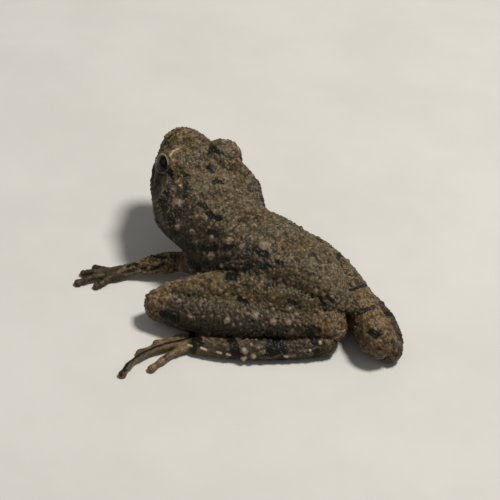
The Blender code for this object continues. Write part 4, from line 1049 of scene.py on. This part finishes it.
# ---------------------------------------------------------------- folds, nostrils and ear
for sign in (1, -1):
    H = lambda s, o, u: head_point(s, sign * o, u)
    run3d([H(5.75, 3.35, 2.30), H(6.6, 3.85, 2.15), H(7.5, 4.15, 1.70), H(8.2, 4.35, 1.05), H(8.8, 4.45, 0.30)], 0.30, 0.17)
    run3d([H(1.15, 0.95, 1.10), H(2.2, 1.55, 1.50), H(3.2, 1.95, 1.85)], 0.30, 0.10)
    run3d([H(7.9, 4.3, -0.35), H(8.4, 4.2, -1.0), H(8.7, 3.4, -1.6), H(8.8, 1.8, -1.9), H(8.8, 0.0, -2.0)], 0.22, -0.09)
    p, i, _ = tree.find(H(7.0, 4.15, 0.95))
    idx, dist = near(p, 0.75, 0.1, i)
    ring = np.exp(-((dist - 0.46) / 0.09) ** 2)
    height[idx] += 0.06 * ring - 0.05 * np.exp(-(dist / 0.34) ** 4)
    MASKS["grey"][idx] = np.maximum(MASKS["grey"][idx], 0.6 * np.exp(-(dist / 0.4) ** 4))
    p, i, _ = tree.find(H(1.18, 0.80, 1.08))
    touch(p, 0.34, 0.10, None, 1, i, 0.8, 0.05)
    idx, dist = near(p, 0.17, 0.0, i)
    height[idx] -= 0.26 * np.clip(1 - (dist / 0.17) ** 2, 0, 1)
    MASKS["black"][idx] = np.maximum(MASKS["black"][idx], np.clip(1.6 * (1 - (dist / 0.17) ** 2), 0, 1))
# vent under the rump
p, i, _ = tree.find(Vector((1.95, 13.9, 3.2)))
touch(p, 0.30, 0.10, None, 1, i, 0.8, 0.05)
idx, dist = near(p, 0.13, 0.0, i)
if idx is not None and len(idx):
    height[idx] -= 0.20 * np.clip(1 - (dist / 0.13) ** 2, 0, 1)
    MASKS["dark"][idx] = 1.0

grain_amount = 0.082 * (1 - 0.40 * part("thigh")) * (1 - 0.55 * inner_side)
height = height + grain_height * grain_amount * (1 - 0.5 * np.clip(height / 0.14, 0, 1))
height += (0.034 * pucker + 0.014 * lumps(co, 0.16, 9)) * rough_zone * (1 - 0.4 * part("thigh"))
co = co + normal * height[:, None]

# ---------------------------------------------------------------- eyelids
EYE_AXES = {}
for side, sign in (("left", 1), ("right", -1)):
    centre = np.array(head_point(EYE_BACK, EYE_SHIFT + sign * EYE_OUT, EYE_UP))
    outward = (LEFT * sign * 0.84 + UP * (0.48 if sign > 0 else 0.38) - BACK * 0.04).normalized()
    along_ = (BACK - outward * BACK.dot(outward)).normalized()
    upward = along_.cross(outward) * sign
    if upward.dot(UP) < 0:
        upward = -upward
    EYE_AXES[side] = (centre, outward, along_, upward)
    d = co - centre
    r = np.linalg.norm(d, axis=1)
    u = d / np.maximum(r, 1e-6)[:, None]
    a = np.degrees(np.arctan2(u @ np.array(along_), u @ np.array(outward)))
    b = np.degrees(np.arcsin(np.clip(u @ np.array(upward), -1, 1)))
    inside = (r < EYE_RADIUS + 1.6) & (u @ np.array(outward) > -0.35)
    wide = 38.0
    lim = np.where(b > 0, 31.0, 33.0)
    k = np.sqrt((a / wide) ** 2 + (b / lim) ** 2)
    rim = EYE_RADIUS + 0.115
    new = r.copy()
    # behind the ball inside the opening, a rounded rim at its edge, a shallow furrow outside it
    prof_in = EYE_RADIUS - 0.34 + (rim - EYE_RADIUS + 0.34) * step(k, 0.86, 1.00)
    prof_rim = rim + 0.035 * np.exp(-((k - 1.06) / 0.07) ** 2) - 0.07 * np.exp(-((k - 1.26) / 0.07) ** 2)
    target = np.where(k < 1.0, prof_in, prof_rim)
    fade = 1 - step(k, 1.18, 1.55)
    new = np.where(inside, target * fade + r * (1 - fade), r)
    new = np.where(inside & (k >= 1.0), np.maximum(new, EYE_RADIUS + 0.05), new)
    co = centre + u * new[:, None]
    lid = np.where(inside, np.exp(-((k - 1.03) / 0.045) ** 2), 0) * (0.45 + 0.55 * step(b, -8, 10)) * (1 - step(a, 12, 30))
    MASKS["cream"] = np.maximum(MASKS["cream"], 0.95 * lid)
    for m in ("black", "dark"):
        MASKS[m] *= 1 - np.clip(1.3 * lid, 0, 1)
    glow = np.where(inside, np.exp(-(((k - 1.28) / 0.13) ** 2) - ((a - 12) / 26) ** 2), 0) * step(b, 5, 20)
    MASKS["warm"] = np.maximum(MASKS["warm"], 0.6 * glow)
    # painted shade: the skin inside the lid opening, behind the ball, is black
    dark_in = np.where(inside, 1 - step(k, 0.88, 0.97), 0)
    MASKS["black"] = np.maximum(MASKS["black"], dark_in)
    for m in ("cream", "pale", "warm"):
        MASKS[m] *= 1 - dark_in
# pale line from the eyelid towards the nostril
for side, pts in (("left", [(170, 156), (174, 151), (179, 149)]),):
    stroke(pts, 0.095, 0.0, "cream", 0.55, 1.0, 0.1)
H = lambda s, o, u: head_point(s, -o, u)
p0, i0, _ = tree.find(H(3.4, 2.3, 1.95))
touch(p0, 0.16, 0.0, "cream", 0.7, i0)

co[:, 2] = np.maximum(co[:, 2], 0.0)

# ---------------------------------------------------------------- write the skin
final = co.copy()
final[:, 0] += CENTRE_SHIFT[0]
final[:, 1] += CENTRE_SHIFT[1]
final *= UNIT
mesh.vertices.foreach_set("co", final.astype(np.float32).ravel())
for key, values in MASKS.items():
    attr = mesh.attributes.new("m_" + key, 'FLOAT', 'POINT')
    attr.data.foreach_set("value", np.clip(values, 0, 1).astype(np.float32))
mesh.polygons.foreach_set("use_smooth", [True] * len(mesh.polygons))
mesh.update()
mesh.name = "skin"


# ---------------------------------------------------------------- materials
class Nodes:
    def __init__(self, name):
        self.mat = bpy.data.materials.new(name)
        self.mat.use_nodes = True
        self.tree = self.mat.node_tree
        self.bsdf = self.tree.nodes["Principled BSDF"]
        self.place = self.tree.nodes.new("ShaderNodeTexCoord").outputs["Object"]

    def join(self, a, b):
        self.tree.links.new(a, b)

    def attribute(self, name):
        n = self.tree.nodes.new("ShaderNodeAttribute")
        n.attribute_type = 'GEOMETRY'
        n.attribute_name = name
        return n.outputs["Fac"]

    def noise(self, size_mm, detail=3.0, rough=0.55, warp=0.0):
        n = self.tree.nodes.new("ShaderNodeTexNoise")
        n.inputs["Scale"].default_value = 1000.0 / size_mm
        n.inputs["Detail"].default_value = detail
        n.inputs["Roughness"].default_value = rough
        n.inputs["Distortion"].default_value = warp
        self.join(self.place, n.inputs["Vector"])
        return n.outputs["Fac"]

    def cells(self, size_mm, feature='F1', smooth=None, warp=0.0):
        n = self.tree.nodes.new("ShaderNodeTexVoronoi")
        n.feature = feature
        n.inputs["Scale"].default_value = 1000.0 / size_mm
        if smooth is not None:
            n.inputs["Smoothness"].default_value = smooth
        where = self.place
        if warp:
            wave = self.tree.nodes.new("ShaderNodeTexNoise")
            wave.inputs["Scale"].default_value = 1000.0 / (size_mm * 1.6)
            wave.inputs["Detail"].default_value = 1.0
            self.join(self.place, wave.inputs["Vector"])
            shift = self.tree.nodes.new("ShaderNodeVectorMath")
            shift.operation = 'MULTIPLY_ADD'
            self.join(wave.outputs["Color"], shift.inputs[0])
            shift.inputs[1].default_value = (warp / 1000.0,) * 3
            self.join(self.place, shift.inputs[2])
            where = shift.outputs[0]
        self.join(where, n.inputs["Vector"])
        return n.outputs["Distance"]

    def ramp(self, value, low, high, out_low=0.0, out_high=1.0):
        n = self.tree.nodes.new("ShaderNodeMapRange")
        n.interpolation_type = 'SMOOTHSTEP'
        n.inputs["From Min"].default_value = low
        n.inputs["From Max"].default_value = high
        n.inputs["To Min"].default_value = out_low
        n.inputs["To Max"].default_value = out_high
        self.join(value, n.inputs["Value"])
        return n.outputs["Result"]

    def maths(self, op, a, b):
        n = self.tree.nodes.new("ShaderNodeMath")
        n.operation = op
        n.use_clamp = True
        for i, x in enumerate((a, b)):
            if isinstance(x, (int, float)):
                n.inputs[i].default_value = x
            else:
                self.join(x, n.inputs[i])
        return n.outputs[0]

    def mix(self, factor, a, b, kind='MIX'):
        n = self.tree.nodes.new("ShaderNodeMix")
        n.data_type = 'RGBA'
        n.blend_type = kind
        n.clamp_factor = True
        if isinstance(factor, (int, float)):
            n.inputs[0].default_value = factor
        else:
            self.join(factor, n.inputs[0])
        for i, x in ((6, a), (7, b)):
            if isinstance(x, tuple):
                n.inputs[i].default_value = (*x, 1.0)
            else:
                self.join(x, n.inputs[i])
        return n.outputs[2]

    def bump(self, value, strength, distance):
        n = self.tree.nodes.new("ShaderNodeBump")
        n.inputs["Strength"].default_value = strength
        n.inputs["Distance"].default_value = distance
        self.join(value, n.inputs["Height"])
        return n.outputs["Normal"]


def skin_material():
    m = Nodes("frog_skin")
    fine_n = m.noise(0.16, 3.0, 0.6)
    mid_n = m.noise(0.7, 4.0, 0.6, 0.3)
    wide_n = m.noise(2.6, 3.0, 0.55)
    grain = m.attribute("m_grain")
    base = m.mix(m.ramp(mid_n, 0.35, 0.65), (0.104, 0.076, 0.038), (0.174, 0.137, 0.079))
    base = m.mix(m.ramp(wide_n, 0.42, 0.62, 0.0, 0.85), base, (0.134, 0.090, 0.037))
    tan = m.mix(m.ramp(mid_n, 0.35, 0.62), (0.150, 0.094, 0.036), (0.245, 0.168, 0.078))
    base = m.mix(m.attribute("m_tan"), base, tan)
    grey = m.mix(m.ramp(mid_n, 0.35, 0.65), (0.037, 0.026, 0.015), (0.080, 0.058, 0.036))
    base = m.mix(m.attribute("m_grey"), base, grey)
    warm = m.mix(m.ramp(mid_n, 0.35, 0.65), (0.170, 0.090, 0.034), (0.270, 0.170, 0.080))
    base = m.mix(m.attribute("m_warm"), base, warm)
    belly = m.mix(m.ramp(mid_n, 0.3, 0.7), (0.42, 0.36, 0.28), (0.60, 0.55, 0.46))
    base = m.mix(m.attribute("m_belly"), base, belly)
    # granules differ at random in tone, some darker and some lighter; painted shade darkens the crevices between them
    tone = m.attribute("m_tone")
    base = m.mix(m.ramp(tone, 0.05, 0.45, 0.42, 0.0), base, (0.030, 0.023, 0.014))
    light = m.mix(0.55, base, (0.37, 0.305, 0.215))
    base = m.mix(m.maths('MULTIPLY', m.ramp(tone, 0.60, 0.95), m.ramp(fine_n, 0.38, 0.60, 0.18, 0.78)), base, light)
    # painted shade in the crevices, where the granule relief is low
    base = m.mix(m.ramp(grain, 0.05, 0.55, 0.80, 0.0), base, (0.014, 0.011, 0.007))
    # painted shade along the borders of fine cells, weaker in places
    cell = m.cells(0.21, warp=0.16)
    base = m.mix(m.maths('MULTIPLY', m.ramp(cell, 0.36, 0.68, 0.0, 0.50), m.ramp(wide_n, 0.30, 0.60, 1.0, 0.45)), base, (0.018, 0.014, 0.009))
    speck = m.noise(0.30, 2.0, 0.7, 0.4)
    base = m.mix(m.ramp(speck, 0.36, 0.50, 0.38, 0.0), base, (0.026, 0.020, 0.012))
    pale = m.mix(m.ramp(fine_n, 0.3, 0.7), (0.17, 0.116, 0.076), (0.36, 0.270, 0.190))
    base = m.mix(m.attribute("m_pale"), base, pale)
    dark = m.mix(m.ramp(fine_n, 0.35, 0.7), (0.014, 0.011, 0.007), (0.038, 0.029, 0.019))
    base = m.mix(m.attribute("m_dark"), base, dark)
    black = m.mix(m.ramp(fine_n, 0.45, 0.75), (0.0045, 0.0045, 0.004), (0.020, 0.018, 0.014))
    # single paler granules stand in the dark skin
    dots = m.maths('MULTIPLY', m.ramp(tone, 0.78, 0.96, 0.0, 0.52), m.ramp(grain, 0.35, 0.75))
    base = m.mix(m.maths('MULTIPLY', dots, m.attribute("m_dark")), base, (0.130, 0.096, 0.066))
    base = m.mix(m.attribute("m_black"), base, black)
    cream = m.mix(m.ramp(fine_n, 0.3, 0.7), (0.50, 0.40, 0.24), (0.72, 0.64, 0.48))
    base = m.mix(m.attribute("m_cream"), base, cream)
    base = m.mix(m.attribute("m_pit"), base, (0.010, 0.008, 0.006))
    m.join(base, m.bsdf.inputs["Base Color"])
    rough = m.ramp(mid_n, 0.3, 0.7, 0.34, 0.56)
    m.join(rough, m.bsdf.inputs["Roughness"])
    m.bsdf.inputs["Specular IOR Level"].default_value = 0.17
    m.bsdf.inputs["Subsurface Weight"].default_value = 0.10
    m.bsdf.inputs["Subsurface Radius"].default_value = (0.8, 0.35, 0.18)
    m.bsdf.inputs["Subsurface Scale"].default_value = 0.0005
    texture = m.mix(0.5, m.maths('SUBTRACT', 1.0, cell), fine_n)
    m.join(m.bump(texture, 0.50, 0.00007), m.bsdf.inputs["Normal"])
    return m.mat


skin.data.materials.clear()
skin.data.materials.append(skin_material())
BODY_NODES = ["head", "lower_jaw", "trunk"] + [f"{k}_{s}" for s in ("left", "right") for k in
                                               ("upper_arm", "forearm", "hand", "thigh", "shank", "tarsus", "foot")]
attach(skin, "root")
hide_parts(*BODY_NODES)


# ---------------------------------------------------------------- eyes
def eye_material():
    m = Nodes("frog_eye")
    reach = m.attribute("m_reach")        # 0 at the middle of the pupil, 1 at its edge, more in the iris
    rimline = m.attribute("m_rim")
    spokes = m.noise(0.22, 4.0, 0.65, 0.6)
    flecks = m.noise(0.06, 2.0, 0.6)
    iris = m.mix(m.ramp(spokes, 0.38, 0.66), (0.016, 0.010, 0.005), (0.15, 0.080, 0.022))
    iris = m.mix(m.ramp(flecks, 0.58, 0.76), iris, (0.42, 0.27, 0.09))
    iris = m.mix(m.ramp(reach, 1.35, 2.00), iris, (0.010, 0.007, 0.004))
    ring = m.mix(m.ramp(reach, 1.03, 1.10), (0.10, 0.062, 0.024), iris)
    base = m.mix(m.ramp(reach, 0.96, 1.03), (0.0016, 0.0015, 0.0014), ring)
    base = m.mix(rimline, base, (0.010, 0.008, 0.006))
    m.join(base, m.bsdf.inputs["Base Color"])
    m.bsdf.inputs["Roughness"].default_value = 0.12
    m.bsdf.inputs["Specular IOR Level"].default_value = 0.12
    m.bsdf.inputs["Coat Weight"].default_value = 0.10
    m.bsdf.inputs["Coat Roughness"].default_value = 0.03
    return m.mat


EYE_MATERIAL = eye_material()


def make_eye(side):
    """A ball with a slightly raised cornea; the pupil lies level."""
    centre, outward, along_, upward = EYE_AXES[side]
    rings, seg = 56, 72
    verts, reach, rimline = [], [], []
    o, a, u = np.array(outward), np.array(along_), np.array(upward)
    rows = []
    for i in range(rings + 1):
        th = math.pi * i / rings
        row = []
        count = 1 if i in (0, rings) else seg
        for j in range(count):
            ph = 2 * math.pi * j / seg
            d = o * math.cos(th) + (a * math.cos(ph) + u * math.sin(ph)) * math.sin(th)
            bulge = 0.055 * math.exp(-(math.degrees(th) / 38.0) ** 4)
            p = centre + d * (EYE_RADIUS - 0.015 + bulge)
            row.append(len(verts))
            verts.append(((p[0] + CENTRE_SHIFT[0]) * UNIT, (p[1] + CENTRE_SHIFT[1]) * UNIT, p[2] * UNIT))
            x, y = math.degrees(th) * math.cos(ph), math.degrees(th) * math.sin(ph)
            reach.append(math.sqrt((x / 36.0) ** 2 + (y / 29.5) ** 2))
            rimline.append(float(np.clip((math.degrees(th) - 48) / 8, 0, 1)))
        rows.append(row)
    fcs = []
    for i in range(rings):
        ra, rb = rows[i], rows[i + 1]
        for j in range(seg):
            if len(ra) == 1:
                fcs.append((ra[0], rb[j], rb[(j + 1) % seg]))
            elif len(rb) == 1:
                fcs.append((ra[j], rb[0], ra[(j + 1) % seg]))
            else:
                fcs.append((ra[j], rb[j], rb[(j + 1) % seg], ra[(j + 1) % seg]))
    me = bpy.data.meshes.new("eyeball_" + side)
    me.from_pydata(verts, [], fcs)
    b = bmesh.new()
    b.from_mesh(me)
    bmesh.ops.recalc_face_normals(b, faces=b.faces)
    b.to_mesh(me)
    b.free()
    me.attributes.new("m_reach", 'FLOAT', 'POINT').data.foreach_set("value", np.array(reach, np.float32))
    me.attributes.new("m_rim", 'FLOAT', 'POINT').data.foreach_set("value", np.array(rimline, np.float32))
    me.polygons.foreach_set("use_smooth", [True] * len(me.polygons))
    me.materials.append(EYE_MATERIAL)
    obj = bpy.data.objects.new("eyeball_" + side, me)
    bpy.context.scene.collection.objects.link(obj)
    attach(obj, "root")
    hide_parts("eye_" + side)
    return obj


for side in ("left", "right"):
    make_eye(side)


# ---------------------------------------------------------------- floor, light, camera
def floor_material():
    m = Nodes("pale_floor")
    n = m.noise(14.0, 4.0, 0.6)
    m.join(m.mix(m.ramp(n, 0.3, 0.7), (0.600, 0.590, 0.565), (0.640, 0.630, 0.605)), m.bsdf.inputs["Base Color"])
    m.bsdf.inputs["Roughness"].default_value = 0.85
    m.bsdf.inputs["Specular IOR Level"].default_value = 0.2
    return m.mat


floor_mesh = bpy.data.meshes.new("floor")
span, cells = 0.9, 12
fverts = [((i / cells - 0.5) * 2 * span, (j / cells - 0.5) * 2 * span, 0.0) for j in range(cells + 1) for i in range(cells + 1)]
ffaces = [(j * (cells + 1) + i, j * (cells + 1) + i + 1, (j + 1) * (cells + 1) + i + 1, (j + 1) * (cells + 1) + i)
          for j in range(cells) for i in range(cells)]
floor_mesh.from_pydata(fverts, [], ffaces)
floor_mesh.materials.append(floor_material())
floor = bpy.data.objects.new("floor", floor_mesh)
bpy.context.scene.collection.objects.link(floor)

world = bpy.data.worlds.new("soft_room")
bpy.context.scene.world = world
world.use_nodes = True
world.node_tree.nodes["Background"].inputs["Color"].default_value = (1.0, 0.99, 0.96, 1.0)
world.node_tree.nodes["Background"].inputs["Strength"].default_value = 0.21


def lamp(name, at, size, power, colour):
    data = bpy.data.lights.new(name, 'AREA')
    data.shape = 'DISK'
    data.size = size
    data.energy = power
    data.color = colour
    obj = bpy.data.objects.new(name, data)
    obj.location = at
    obj.rotation_mode = 'QUATERNION'
    obj.rotation_quaternion = (Vector((0, 0, 0.004)) - Vector(at)).to_track_quat('-Z', 'Y')
    bpy.context.scene.collection.objects.link(obj)


lamp("key", (-0.10, 0.07, 0.32), 0.08, 1.12, (1.0, 0.965, 0.90))
lamp("side", (0.26, -0.22, 0.22), 0.25, 0.07, (0.95, 0.97, 1.0))

cam_data = bpy.data.cameras.new("view")
cam_data.sensor_width = 36.0
cam_data.lens = LENS
cam_data.clip_start = 0.01
cam_data.clip_end = 2.0
cam = bpy.data.objects.new("view", cam_data)
bpy.context.scene.collection.objects.link(cam)
at = Vector(((CAM_AT.x + CENTRE_SHIFT[0]) * UNIT, (CAM_AT.y + CENTRE_SHIFT[1]) * UNIT, CAM_AT.z * UNIT))
cam.matrix_world = Matrix.Translation(at) @ Matrix((CAM_RIGHT, CAM_UP, -LOOK)).transposed().to_4x4()
bpy.context.scene.camera = cam
bpy.context.scene.view_settings.view_transform = 'Standard'
bpy.context.scene.view_settings.look = 'None'
